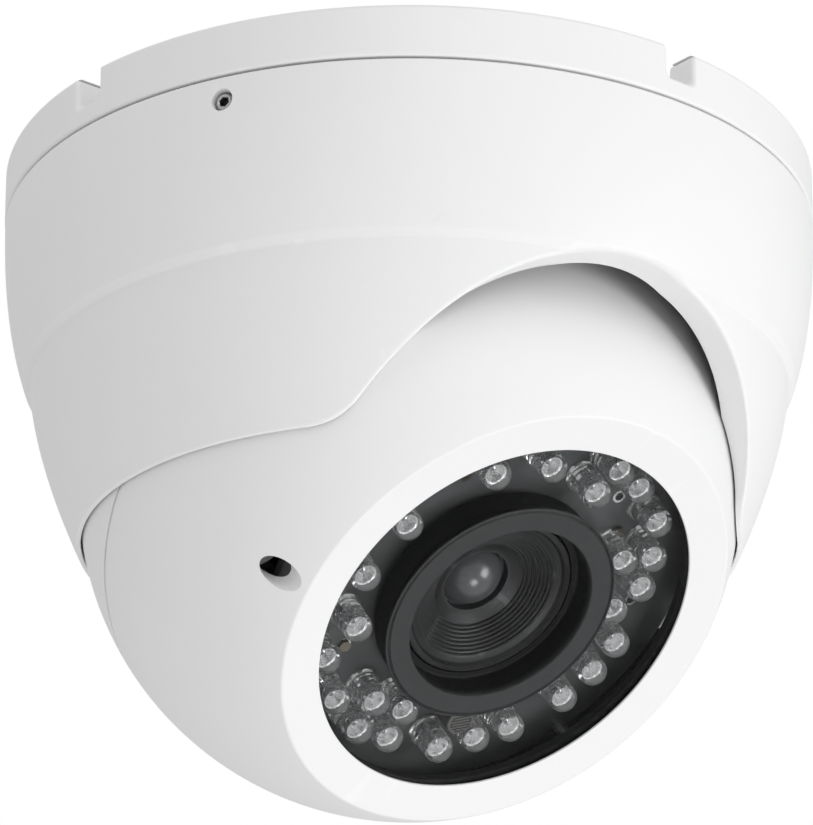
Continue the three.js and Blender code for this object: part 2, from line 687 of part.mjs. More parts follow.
// Black cell of the front glass: a stepped funnel that narrows to the element.
function frontCell() {
  const top = CELL_TOP;
  const seat = SEAT_TOP;
  const profile = [
    [CARRIER_R, CELL_BACK - 8], [CARRIER_R, CELL_BACK], [LENS_R, CELL_BACK], [LENS_R, top],
    [LENS_R - 1, top], [LENS_R - 1.4, top - 0.6], [LENS_R - 2.2, top - 0.8],
    [ELEMENT_R + 1.6, seat + 0.8], [ELEMENT_R - 0.4, seat + 0.4], [ELEMENT_R - 0.4, seat - 1],
    [ELEMENT_R + CLEAR, seat - 1], [ELEMENT_R + CLEAR, CELL_BACK - 8],
  ];
  return named('front_cell', turned(profile, ROUND_MID), blackMetal);
}

function frontElement() {
  const front = SEAT_TOP - 1 - CLEAR;
  const bulge = curve([ELEMENT_R - 1, front], [ELEMENT_R - 2.6, front + 3], [0, front + 3.2], 4);
  const glass = turned([
    [0, front - 6.5], [ELEMENT_R - 1.5, front - 5], [ELEMENT_R, front - 5], [ELEMENT_R, front],
    ...bulge,
  ], 16);
  return named('front_element', glass, lensGlass);
}

// Rubber hood pressed round the front cell, with a thin flange at its front and a wide bore.
function lensHood() {
  const top = GLASS_BACK - 0.4;
  const low = top - HOOD_H;
  const inner = LENS_R + CLEAR;
  const waist = HOOD_R - 0.5;
  const flange = HOOD_R + HOOD_FLANGE;
  const profile = [
    [inner, low], [waist, low], [waist, top - 0.55], [flange, top - 0.55], [flange, top],
    [HOOD_BORE + 0.2, top], [HOOD_BORE, top - 0.2], [HOOD_BORE, low + 1.3], [inner, low + 1.3],
  ];
  return named('lens_hood', turned(profile, ROUND_MID), blackRubber);
}

function rearCell() {
  const low = BARREL_BACK + 4;
  const high = low + 5.5;
  const carrier = [
    [ELEMENT_R - 2, low], [CARRIER_R, low], [CARRIER_R, high], [ELEMENT_R - 1 + CLEAR, high],
    [ELEMENT_R - 1 + CLEAR, low + 1], [ELEMENT_R - 2, low + 1],
  ];
  return named('rear_cell', turned(carrier, ROUND_MID), blackMetal);
}

function rearElement() {
  const low = BARREL_BACK + 5 + CLEAR;
  const bulge = curve([ELEMENT_R - 1, low + 3], [ELEMENT_R - 2, low + 4.6], [0, low + 4.8], 3);
  const glass = turned([[0, low], [ELEMENT_R - 1, low], ...bulge], 12);
  return named('rear_element', glass, lensGlass);
}

// ---------------------------------------------------------------- assembly

function group(...children) {
  return new THREE.Group().add(...children);
}

function repeat(count, make) {
  return Array.from({ length: count }, (_, i) => make(i));
}

const base = group(mountingBase(), cableGrommet(), coverSeal(), ballSeat());

const cover = group(coverShell(), ...repeat(SET_SCREW_COUNT, setScrew));
cover.rotation.z = COVER_TURN * DEG;

const eye = group(
  rearShell(), rearGland(),
  frontShell(), shellSeal(), rollClampRing(), ...repeat(2, shellScrew),
  windowGlass(), windowGasket(),
  ledBoard(), lightSensor(), ...repeat(3, boardScrew),
  ...repeat(4, boardPost), ...repeat(4, cardSpacer),
  card('sensor_board', CARD_TOP), card('main_board', MAIN_TOP), imageSensor(),
  lensMount(), irFilter(), lensBarrel(),
  gripRing('focus_ring', FOCUS_TOP), lockScrew('focus_lock', FOCUS_TOP),
  gripRing('zoom_ring', ZOOM_TOP), lockScrew('zoom_lock', ZOOM_TOP),
  group(frontCell(), frontElement(), lensHood()),
  group(rearCell(), rearElement()),
);
eye.position.z = BALL_Z;
eye.rotation.x = Math.PI - TILT * DEG;

export default group(base, cover, eye);
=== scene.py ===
"""Looks of a ceiling dome camera with a turning eyeball, laid out as a Blender add-on.

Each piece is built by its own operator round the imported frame, in metres, in the frame's own axes.
Run as a script it builds every piece, the floor, the lights and the camera.
"""

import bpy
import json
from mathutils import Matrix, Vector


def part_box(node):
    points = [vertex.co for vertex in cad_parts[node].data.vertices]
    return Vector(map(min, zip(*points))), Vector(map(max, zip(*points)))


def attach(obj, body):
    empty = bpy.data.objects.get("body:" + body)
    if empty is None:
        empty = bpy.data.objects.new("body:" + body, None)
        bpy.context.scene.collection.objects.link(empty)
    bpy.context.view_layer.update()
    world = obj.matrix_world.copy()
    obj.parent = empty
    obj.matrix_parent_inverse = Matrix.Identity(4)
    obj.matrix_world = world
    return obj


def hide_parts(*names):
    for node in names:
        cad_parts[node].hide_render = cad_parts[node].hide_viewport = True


bl_info = {
    "name": "Eyeball dome camera",
    "version": (1, 0, 0),
    "blender": (4, 5, 0),
    "location": "3D View > Sidebar > Dome camera",
    "description": "Builds the painted housing, lamp window and lens of a ceiling dome camera",
    "category": "Object",
}

import json
import math
import random

import bmesh
import bpy
import numpy as np
from bpy.props import FloatProperty, FloatVectorProperty, PointerProperty
from mathutils import Matrix, Vector

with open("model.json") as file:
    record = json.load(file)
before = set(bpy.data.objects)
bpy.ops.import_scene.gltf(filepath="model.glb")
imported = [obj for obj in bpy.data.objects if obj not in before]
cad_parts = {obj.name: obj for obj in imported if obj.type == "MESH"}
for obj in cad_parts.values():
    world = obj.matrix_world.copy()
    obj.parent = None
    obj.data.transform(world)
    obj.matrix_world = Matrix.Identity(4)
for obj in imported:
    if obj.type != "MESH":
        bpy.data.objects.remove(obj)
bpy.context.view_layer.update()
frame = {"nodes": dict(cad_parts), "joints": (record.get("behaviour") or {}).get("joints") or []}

MM = 0.001
TAU = 2 * math.pi


# ---------------------------------------------------------------- places read from the frame

def joint(name):
    return next(j for j in frame["joints"] if j["name"] == name)


def corners(node):
    """All vertices of a CAD node, in the frame."""
    mesh = frame["nodes"][node].data
    flat = np.zeros(3 * len(mesh.vertices))
    mesh.vertices.foreach_get("co", flat)
    return flat.reshape(-1, 3)


def turned_frame(origin, axis):
    """Matrix whose Z is the axis and whose X is the frame's X."""
    z = Vector(axis).normalized()
    x = Vector((1, 0, 0))
    y = z.cross(x)
    matrix = Matrix((x, y, z)).transposed().to_4x4()
    matrix.translation = Vector(origin)
    return matrix


def local_corners(node, matrix):
    back = np.array(matrix.inverted())
    return corners(node) @ back[:3, :3].T + back[:3, 3]


BALL_Z = joint("eye_tilt")["pos_m"][2]
EYE = turned_frame(joint("eye_level")["pos_m"], joint("eye_level")["axis"])
RIM_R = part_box("mounting_base")[1].x
WINDOW = local_corners("window_glass", EYE)
HOOD_TOP = float(local_corners("lens_hood", EYE)[:, 2].max())
BOARD = local_corners("led_board", EYE)
SCREW_SIDES = [Vector(corners(f"set_screw_{i}").mean(0)) for i in (1, 2, 3)]
COVER_TURN = math.atan2(SCREW_SIDES[1].y, SCREW_SIDES[1].x) + math.radians(30)
COVER = Matrix.Rotation(COVER_TURN, 4, "Z")


# ---------------------------------------------------------------- sizes and colours

def length(name, description, millimetres):
    return FloatProperty(name=name, description=description, default=millimetres * MM,
                         min=0.0, unit="LENGTH", precision=5)


def colour(name, description, *rgb):
    return FloatVectorProperty(name=name, description=description, subtype="COLOR",
                               size=3, min=0, max=1, default=rgb)


class DomeBaseSizes(bpy.types.PropertyGroup):
    """Sizes of the mounting base"""
    rim_height: length("Rim height", "Depth of the rim below the ceiling", 9.1)
    rim_wall: length("Rim wall", "Thickness of the rim", 5.5)
    recess: length("Recess", "Depth of the cable recess on the ceiling side", 5.6)
    web: length("Web", "Thickness of the recess floor", 2.0)
    hub_radius: length("Hub radius", "Flat centre of the ceiling face", 30)
    collar_height: length("Collar height", "Foot of the inner collar below the ceiling", 31)
    collar_wall: length("Collar wall", "Thickness of the inner collar", 1.8)
    guide_gap: length("Guide gap", "Cover guide ring inside the rim radius", 7)
    guide_height: length("Guide height", "Foot of the cover guide ring below the ceiling", 18)
    notch_width: length("Notch width", "Width of each cable notch", 5.6)
    notch_round: length("Notch rounding", "Rounded edge of each cable notch", 1.0)
    cable_hole: length("Cable hole radius", "Hole for the camera's own cable", 6.5)
    screw_hole: length("Screw hole radius", "Holes for the ceiling screws", 2.3)
    screw_circle: length("Screw circle radius", "Circle of the ceiling screws", 47)


class DomeCoverSizes(bpy.types.PropertyGroup):
    """Sizes of the turning cover"""
    seam: length("Seam", "Shadow gap under the rim", 0.4)
    inset: length("Inset", "Skirt inside the rim radius", 0.1)
    wall: length("Wall", "Thickness of the cover", 2.6)
    ridge_up: length("Ridge height", "Ridge above the ball centre", 18.6)
    ridge_in: length("Ridge inset", "Ridge inside the rim radius", 3.8)
    ridge_step: length("Ridge step", "How far the cover steps in at the ridge", 1.1)
    ridge_step_height: length("Ridge step height", "Height of the step at the ridge", 1.4)
    lip_drop: length("Lip drop", "Lip below the ball centre", 10.4)
    lip_wall: length("Lip thickness", "Thickness of the lip", 0.75)
    lip_round: length("Lip rounding", "Rounded edge of the lip", 0.3)
    scoop_radius: length("Scoop radius", "Radius of the scoop", 40.3)
    scoop_up: length("Scoop height", "Top of the scoop above the ball centre", 18.5)
    scoop_fillet: length("Scoop fillet", "Radius where the scoop runs into the lip", 6)
    scoop_depth: length("Scoop depth", "Scoop flange, inwards from the outer face", 5.7)
    scoop_wall: length("Scoop wall", "Thickness of the scoop flange", 2.4)
    scoop_round: length("Scoop rounding", "Rounded outer edge of the scoop", 0.75)
    screw_radius: length("Set screw radius", "Radius of the set screws", 1.5)
    screw_drop: length("Set screw drop", "Set screws below the ceiling", 13.5)


class DomeEyeSizes(bpy.types.PropertyGroup):
    """Sizes of the eyeball, its window and lamps"""
    ball_radius: length("Ball radius", "Radius of the eyeball", 54.6)
    shell: length("Shell wall", "Thickness of both half shells", 2.5)
    bezel_width: length("Bezel width", "Pale ring round the window", 6.7)
    bezel_round: length("Bezel rounding", "Soft outer edge of the bezel", 2.2)
    bezel_dish: length("Bezel dish", "Fall of the bezel towards the window", 0.5)
    bezel_lip: length("Bezel lip", "Lip in front of the glass", 0.5)
    window_radius: length("Window radius", "Clear radius of the window", 33.1)
    seat_drop: length("Element seat", "Seat of the front element, below the lamp board", 2.05)
    bore_radius: length("Screw bore radius", "Bores of the shell screws", 2.35)
    bore_depth: length("Screw bore depth", "Depth of the shell screw bores", 11.5)
    lamp_radius: length("Lamp radius", "Radius of each lamp", 2.5)
    lamp_height: length("Lamp height", "Lamp tip above the board", 7.7)


class DomeColours(bpy.types.PropertyGroup):
    """Colours of the finishes"""
    paint: colour("Paint", "Powder coat of the housing", 0.87, 0.87, 0.872)
    rubber: colour("Rubber", "Seals and gaskets", 0.016, 0.016, 0.017)
    hood: colour("Hood", "Rubber hood round the lens", 0.034, 0.035, 0.036)
    black_metal: colour("Black metal", "Anodised lens cells and rings", 0.022, 0.022, 0.023)
    board: colour("Lamp board", "Solder mask of the lamp board", 0.105, 0.106, 0.108)
    card: colour("Circuit boards", "Solder mask of the inner boards", 0.015, 0.09, 0.035)
    steel: colour("Steel", "Screws and clamp ring", 0.62, 0.63, 0.64)
    brass: colour("Brass", "Posts and spacers", 0.34, 0.31, 0.25)


# ---------------------------------------------------------------- mesh tools

def piece(name, points, faces, material, body, matrix=Matrix.Identity(4), sharp=38.0):
    """A mesh object that rides on a body, smooth but for edges sharper than an angle."""
    way = np.array(matrix)
    points = np.asarray(points, float) @ way[:3, :3].T + way[:3, 3]
    mesh = bpy.data.meshes.new(name)
    mesh.from_pydata([tuple(map(float, p)) for p in points], [], [tuple(f) for f in faces])
    tidy = bmesh.new()
    tidy.from_mesh(mesh)
    bmesh.ops.remove_doubles(tidy, verts=tidy.verts, dist=1e-7)
    bmesh.ops.recalc_face_normals(tidy, faces=tidy.faces)
    tidy.to_mesh(mesh)
    tidy.free()
    obj = bpy.data.objects.new(name, mesh)
    bpy.context.scene.collection.objects.link(obj)
    smooth(obj, sharp)
    if material:
        mesh.materials.append(material)
    if body:
        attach(obj, body)
    return obj


def smooth(obj, sharp):
    mesh = obj.data
    mesh.polygons.foreach_set("use_smooth", [True] * len(mesh.polygons))
    mesh.set_sharp_from_angle(angle=math.radians(sharp))


def even_shading(obj):
    """Large faces keep their own direction, so that roundings stay narrow."""
    shading = obj.modifiers.new("Even shading", "WEIGHTED_NORMAL")
    shading.keep_sharp = True
    shading.weight = 60
    return obj


def grid(points, wrap_rows=False, wrap_columns=True):
    """Vertices and quads of an array of points: rows x columns x 3."""
    rows, columns = points.shape[:2]
    faces = []
    for i in range(rows if wrap_rows else rows - 1):
        for j in range(columns if wrap_columns else columns - 1):
            k, m = (i + 1) % rows, (j + 1) % columns
            faces.append((i * columns + j, i * columns + m, k * columns + m, k * columns + j))
    return points.reshape(-1, 3), faces


def rounded(points, steps=5):
    """A profile of (radius, height[, rounding]) corners, with each rounding drawn as an arc."""
    count = len(points)
    out = []
    for i, corner in enumerate(points):
        here = np.array(corner[:2], float)
        size = corner[2] if len(corner) > 2 else 0
        if size <= 0 or i in (0, count - 1):
            out.append(tuple(here))
            continue
        before = np.array(points[i - 1][:2]) - here
        after = np.array(points[i + 1][:2]) - here
        lb, la = np.linalg.norm(before), np.linalg.norm(after)
        before, after = before / lb, after / la
        half = math.acos(max(-1, min(1, float(before @ after)))) / 2
        reach = min(size / math.tan(half), 0.48 * lb, 0.48 * la)
        radius = reach * math.tan(half)
        middle = before + after
        centre = here + middle / np.linalg.norm(middle) * radius / math.sin(half)
        start, end = here + before * reach, here + after * reach
        a0 = math.atan2(*(start - centre)[::-1])
        a1 = math.atan2(*(end - centre)[::-1])
        sweep = (a1 - a0 + math.pi) % TAU - math.pi
        for s in range(steps + 1):
            a = a0 + sweep * s / steps
            out.append((centre[0] + radius * math.cos(a), centre[1] + radius * math.sin(a)))
    return out


def arc(radius, centre, start, end, steps):
    """Points of a circle about (0, centre), between two angles in degrees from +Z."""
    angles = np.radians(np.linspace(start, end, steps + 1))
    return [(radius * math.sin(a), centre + radius * math.cos(a)) for a in angles]


def curve(start, pull, end, steps):
    t = np.linspace(0, 1, steps + 1)[:, None]
    start, pull, end = (np.array(p, float) for p in (start, pull, end))
    return [tuple(p) for p in (1 - t) ** 2 * start + 2 * t * (1 - t) * pull + t ** 2 * end]


def lathe(profile, segments=160, place=(0, 0, 0)):
    """Points and faces of a closed profile turned round Z."""
    angles = np.linspace(0, TAU, segments, endpoint=False)
    points = np.array([[(r * math.cos(a), r * math.sin(a), z) for a in angles] for r, z in profile])
    points += np.array(place)
    on_axis = profile[0][0] == 0 and profile[-1][0] == 0
    return grid(points, wrap_rows=not on_axis)


def turned(name, profile, material, body, matrix=EYE, segments=160, place=(0, 0, 0)):
    obj = piece(name, *lathe(profile, segments, place), material, body, matrix)
    return even_shading(obj)


def merged(parts):
    """Several (points, faces) as one."""
    points, faces, start = [], [], 0
    for some, rings in parts:
        points.extend(map(tuple, some))
        faces.extend(tuple(i + start for i in ring) for ring in rings)
        start += len(some)
    return points, faces


def prism(outline, low, high):
    """Points and faces of an upright prism over an outline of (x, y) points."""
    count = len(outline)
    points = [(x, y, low) for x, y in outline] + [(x, y, high) for x, y in outline]
    faces = [(i, (i + 1) % count, (i + 1) % count + count, i + count) for i in range(count)]
    return points, faces + [tuple(range(count))[::-1], tuple(range(count, 2 * count))]


def slab(left, right, half, low, high, middle=0.0):
    """A rectangular block between two X, half its width either side of a middle Y."""
    far, near = middle + half, middle - half
    return prism([(right, far), (left, far), (left, near), (right, near)], low, high)


def loft(sections):
    """Points and faces of a closed solid through rings of equal count."""
    points, faces = grid(np.array(sections), wrap_columns=True)
    count = len(sections[0])
    last = len(sections) * count
    return points, faces + [tuple(range(count))[::-1], tuple(range(last - count, last))]


def placed(part, matrix):
    points, faces = part
    return [tuple(matrix @ Vector(p)) for p in points], faces


def cut(obj, parts, matrix=Matrix.Identity(4), sharp=38.0):
    """Cuts solids, given in the axes of a matrix, out of an object."""
    for part in parts:
        tool = piece("cutting_tool", *part, None, None, matrix)
        cutting = obj.modifiers.new("Cut", "BOOLEAN")
        cutting.operation = "DIFFERENCE"
        cutting.solver = "MANIFOLD"
        cutting.object = tool
        bpy.context.view_layer.update()
        done = obj.evaluated_get(bpy.context.evaluated_depsgraph_get())
        mesh = bpy.data.meshes.new_from_object(done)
        obj.modifiers.remove(cutting)
        obj.data = mesh
        bpy.data.objects.remove(tool)
    smooth(obj, sharp)
    return obj


def polar(radius, degrees):
    return radius * math.cos(math.radians(degrees)), radius * math.sin(math.radians(degrees))


def standing_ring(radius, count, turn=0.0):
    return [polar(radius, turn + 360 * i / count) for i in range(count)]


# ---------------------------------------------------------------- materials

class Finish:
    """A node material with one Principled shader, and helpers that add its detail."""

    def __init__(self, name, base, roughness, metallic=0.0):
        self.material = bpy.data.materials.new(name)
        self.material.use_nodes = True
        self.tree = self.material.node_tree
        self.shader = self.tree.nodes["Principled BSDF"]
        self.shader.inputs["Base Color"].default_value = (*base, 1)
        self.shader.inputs["Roughness"].default_value = roughness
        self.shader.inputs["Metallic"].default_value = metallic
        self.coords = self.node("ShaderNodeTexCoord").outputs["Object"]
        self.base = base
        self.height = None

    def node(self, kind, inputs=None, **values):
        """A new node with its settings, then the values of its inputs by name."""
        made = self.tree.nodes.new(kind)
        for name, value in values.items():
            setattr(made, name, value)
        for name, value in (inputs or {}).items():
            made.inputs[name].default_value = value
        return made

    def link(self, source, target):
        self.tree.links.new(source, target)

    def along(self, matrix):
        """Textures added after this lie in the axes of a matrix."""
        mapping = self.node("ShaderNodeMapping", vector_type="TEXTURE")
        mapping.inputs["Location"].default_value = matrix.translation
        mapping.inputs["Rotation"].default_value = matrix.to_euler()
        self.link(self.coords, mapping.inputs["Vector"])
        self.coords = mapping.outputs["Vector"]
        return self

    def texture(self, kind, inputs, **values):
        """The factor of a texture in this finish's axes."""
        made = self.node(kind, inputs, **values)
        self.link(self.coords, made.inputs["Vector"])
        return made.outputs["Fac"]

    def noise(self, size, detail=3.0, roughness=0.55):
        """Noise with features of a size in metres."""
        return self.texture("ShaderNodeTexNoise",
                            {"Scale": 1 / size, "Detail": detail, "Roughness": roughness})

    def rings(self, pitch, distortion=0.0):
        """Fine rings round the Z of the texture's axes, a pitch apart."""
        inputs = {"Scale": 1 / pitch / 10 * math.pi, "Distortion": distortion}
        return self.texture("ShaderNodeTexWave", inputs, wave_type="RINGS", rings_direction="Z")

    def remap(self, factor, start, end, low=0.0, high=1.0):
        """The factor mapped from start and end to low and high."""
        mapping = self.node("ShaderNodeMapRange",
                            {"From Min": start, "From Max": end, "To Min": low, "To Max": high})
        self.link(factor, mapping.inputs["Value"])
        return mapping.outputs["Result"]

    def vary_roughness(self, size, low, high):
        """Noise of a size takes the roughness from low to high over its middle range."""
        self.link(self.remap(self.noise(size), 0.3, 0.7, low, high), self.shader.inputs["Roughness"])
        return self

    def vary_colour(self, factor, other):
        """The base colour drifts towards another with the factor."""
        mix = self.node("ShaderNodeMix", {"A": (*self.base, 1), "B": (*other, 1)}, data_type="RGBA")
        before = self.shader.inputs["Base Color"].links
        if before:
            self.link(before[0].from_socket, mix.inputs["A"])
        self.link(factor, mix.inputs["Factor"])
        self.link(mix.outputs["Result"], self.shader.inputs["Base Color"])
        return self

    def bump(self, factor, depth, strength=1.0):
        """Adds relief of a depth in metres; a second call adds to the first."""
        relief = self.node("ShaderNodeBump", {"Distance": depth, "Strength": strength})
        self.link(factor, relief.inputs["Height"])
        if self.height:
            self.link(self.height, relief.inputs["Normal"])
        self.height = relief.outputs["Normal"]
        self.link(self.height, self.shader.inputs["Normal"])
        return self

    def painted_shade_below(self, high, low, other):
        """Painted shade below a height: another colour takes over between two heights of the texture's axes.
        """
        split = self.node("ShaderNodeSeparateXYZ")
        self.link(self.coords, split.inputs["Vector"])
        return self.vary_colour(self.remap(split.outputs["Z"], high, low), other)

    def worn_edges(self, other, amount):
        """Convex edges drift towards another colour."""
        geometry = self.node("ShaderNodeNewGeometry")
        return self.vary_colour(self.remap(geometry.outputs["Pointiness"], 0.52, 0.6, 0.0, amount), other)

    def painted_corner_shade(self, reach, other, amount):
        """Painted shade in corners: where ambient occlusion finds surfaces closer than a reach, the colour
        drifts towards another.
        """
        shade = self.node("ShaderNodeAmbientOcclusion", {"Distance": reach}, samples=4, only_local=True)
        return self.vary_colour(self.remap(shade.outputs["AO"], 0.75, 0.2, 0.0, amount), other)

    def set(self, **values):
        for name, value in values.items():
            self.shader.inputs[name.replace("_", " ")].default_value = value
        return self


def tint(rgb, share):
    return tuple(min(1, c * share) for c in rgb)


def make_finishes(colours):
    """All the object's materials by name."""
    made = {}

    def keep(name, finish):
        made[name] = finish.material
        return finish

    paint = keep("paint", Finish("satin_powder_coat", colours.paint, 0.42))
    paint.vary_colour(paint.noise(9 * MM), tint(colours.paint, 0.985))
    # painted shade: the paint goes darker in corners and seams
    paint.painted_corner_shade(2.2 * MM, tint(colours.paint, 0.8), 0.45)
    paint.worn_edges((0.93, 0.93, 0.935), 0.35)
    paint.vary_roughness(3 * MM, 0.36, 0.5)
    paint.bump(paint.noise(1.3 * MM, 2), 0.012 * MM, 0.6)
    paint.bump(paint.noise(0.22 * MM, 2), 0.004 * MM, 0.5)
    paint.set(Specular_IOR_Level=0.42)

    rubber = keep("rubber", Finish("black_rubber", colours.rubber, 0.7))
    rubber.vary_colour(rubber.noise(2 * MM), tint(colours.rubber, 1.7))
    rubber.vary_roughness(1.5 * MM, 0.6, 0.85)
    rubber.bump(rubber.noise(0.25 * MM), 0.02 * MM, 0.7)

    hood = keep("hood", Finish("hood_rubber", colours.hood, 0.62).along(EYE))
    hood.vary_colour(hood.noise(0.5 * MM), tint(colours.hood, 1.35))
    # painted shade: the hood's sides go black below its lighter top face
    hood.painted_shade_below(HOOD_TOP - 0.5 * MM, HOOD_TOP - 1.4 * MM, (0.004, 0.004, 0.004))
    hood.vary_roughness(1 * MM, 0.52, 0.75)
    hood.bump(hood.noise(0.18 * MM), 0.02 * MM, 0.8)

    metal = keep("black_metal", Finish("black_anodised", colours.black_metal, 0.4, 0.35).along(EYE))
    metal.vary_colour(metal.noise(0.8 * MM), tint(colours.black_metal, 1.5))
    metal.vary_roughness(2 * MM, 0.3, 0.5)
    metal.bump(metal.rings(0.35 * MM, 0.3), 0.012 * MM, 0.7)
    metal.worn_edges((0.12, 0.12, 0.125), 0.35)

    plastic = keep("black_plastic", Finish("black_moulding", tint(colours.black_metal, 1.3), 0.5))
    plastic.vary_roughness(1.2 * MM, 0.42, 0.6)
    plastic.bump(plastic.noise(0.2 * MM), 0.015 * MM, 0.6)

    board = keep("board", Finish("lamp_board_mask", colours.board, 0.38))
    board.vary_colour(board.noise(6 * MM, 4), tint(colours.board, 1.25))
    board.vary_roughness(1.5 * MM, 0.32, 0.46)
    board.bump(board.noise(0.3 * MM), 0.008 * MM, 0.5)

    card = keep("card", Finish("circuit_board_mask", colours.card, 0.4))
    tracks = card.texture("ShaderNodeTexBrick", {"Scale": 420, "Mortar Size": 0.05})
    card.vary_colour(tracks, tint(colours.card, 1.9))
    card.bump(tracks, 0.03 * MM, 0.7)
    card.vary_roughness(1 * MM, 0.3, 0.5)

    steel = keep("steel", Finish("machined_steel", colours.steel, 0.3, 1.0))
    steel.vary_colour(steel.noise(0.6 * MM), tint(colours.steel, 0.8))
    steel.vary_roughness(0.4 * MM, 0.22, 0.42)
    steel.bump(steel.rings(0.2 * MM, 0.5), 0.006 * MM, 0.7)
    # painted shade: the steel goes nearly black in its socket and corners
    steel.painted_corner_shade(1.6 * MM, (0.02, 0.02, 0.02), 0.95)

    brass = keep("brass", Finish("turned_brass", colours.brass, 0.32, 1.0))
    brass.vary_colour(brass.noise(0.8 * MM), tint(colours.brass, 0.75))
    brass.vary_roughness(0.5 * MM, 0.25, 0.45)
    brass.bump(brass.noise(0.15 * MM), 0.006 * MM, 0.6)

    leads = keep("leads", Finish("tinned_lead_frame", (0.97, 0.97, 0.975), 0.25, 0.75))
    leads.vary_roughness(0.3 * MM, 0.14, 0.4)
    leads.bump(leads.noise(0.12 * MM), 0.01 * MM, 0.6)

    chip = keep("chip", Finish("lamp_chip", (0.2, 0.2, 0.22), 0.25, 0.2))
    chip.vary_colour(chip.noise(0.15 * MM), (0.4, 0.4, 0.42))

    resin = keep("resin", Finish("clear_lamp_resin", (0.96, 0.96, 0.965), 0.02))
    resin.set(Transmission_Weight=0.88, IOR=1.52)
    resin.vary_roughness(0.8 * MM, 0.01, 0.035)
    resin.bump(resin.noise(1.6 * MM, 1), 0.05 * MM, 0.5)

    element = keep("element", Finish("coated_lens_glass", (0.2, 0.205, 0.215), 0.18))
    element.set(Transmission_Weight=0.55, IOR=1.62, Coat_Weight=0.5, Coat_Roughness=0.3)
    element.vary_roughness(2 * MM, 0.14, 0.24)

    light_face = keep("sensor_face", Finish("light_sensor_face", (0.11, 0.108, 0.104), 0.45))
    light_face.vary_colour(light_face.noise(0.3 * MM), (0.17, 0.166, 0.16))
    light_face.bump(light_face.noise(0.2 * MM), 0.01 * MM, 0.5)

    track = keep("sensor_track", Finish("light_sensor_track", (0.02, 0.02, 0.02), 0.4))
    track.vary_roughness(0.3 * MM, 0.3, 0.5)

    silicon = keep("silicon", Finish("image_sensor_face", (0.05, 0.06, 0.09), 0.2, 0.3))
    silicon.vary_colour(silicon.noise(0.4 * MM), (0.1, 0.12, 0.18))
    made["window"] = window_finish()
    return made


def window_finish():
    """Flat clear pane: what is behind shows through, with a faint mirror on top."""
    pane = Finish("clear_window_pane", (0.02, 0.02, 0.02), 0.02)
    pane.vary_roughness(14 * MM, 0.008, 0.03)
    clear = pane.node("ShaderNodeBsdfTransparent", {"Color": (0.975, 0.98, 0.98, 1)})
    grazing = pane.node("ShaderNodeLayerWeight", {"Blend": 0.5})
    steep = pane.node("ShaderNodeMath", {1: 5}, operation="POWER")
    mix = pane.node("ShaderNodeMixShader")
    pane.link(grazing.outputs["Facing"], steep.inputs[0])
    pane.link(pane.remap(steep.outputs["Value"], 0.0, 1.0, 0.03), mix.inputs["Fac"])
    pane.link(clear.outputs["BSDF"], mix.inputs[1])
    pane.link(pane.shader.outputs["BSDF"], mix.inputs[2])
    output = next(n for n in pane.tree.nodes if n.type == "OUTPUT_MATERIAL")
    pane.link(mix.outputs["Shader"], output.inputs["Surface"])
    return pane.material


FINISHES = {}


def finish(name):
    if not FINISHES:
        FINISHES.update(make_finishes(bpy.context.scene.dome_colours))
    return FINISHES[name]


# ---------------------------------------------------------------- mounting base

def notch_cutter(s, angle):
    """A cable notch open to the ceiling, its edge flared where it leaves the rim."""
    flare = s.notch_round
    outer = RIM_R + 1.5 * MM
    corner = 1.1 * MM
    mouth = 0.9 * MM
    reaches = [RIM_R - 2 * s.rim_wall, RIM_R - flare]
    reaches += [RIM_R - flare * (1 - math.sin(a)) for a in np.radians((25, 45, 62, 76, 86))]
    sections = []
    for reach in [*reaches, outer]:
        inside = min(1.0, max(0.0, (reach - RIM_R + flare) / flare))
        grow = flare * (1 - math.sqrt(1 - inside ** 2))
        half = s.notch_width / 2 + grow
        floor = -s.recess - grow
        ring = [(half + grow, 2 * MM), (half + grow, 0)]
        lead = mouth if grow < 0.3 * MM else grow
        ring += [(half + lead * (1 - math.sin(a)), -mouth * (1 - math.cos(a)))
                 for a in np.radians((20, 45, 70, 90))]
        ring += [(half - corner * (1 - math.cos(a)), floor + corner * (1 - math.sin(a)))
                 for a in np.radians((0, 30, 60, 90))]
        ring = ring + [(-x, z) for x, z in reversed(ring)]
        sections.append([(x, -reach, z) for x, z in ring])
    return placed(loft(sections), Matrix.Rotation(math.radians(angle), 4, "Z"))


def bored(radius, low, high, place, chamfer=0.0, count=40):
    """A straight hole, opened by a small chamfer at its upper end."""
    profile = [(0, low), (radius, low), (radius, high - chamfer), (radius + 3 * chamfer, high + 2 * chamfer),
               (0, high + 2 * chamfer)]
    return lathe(profile, count, place)


BASE_TURN = -4.0
HOLE_ANGLE = 90 + BASE_TURN


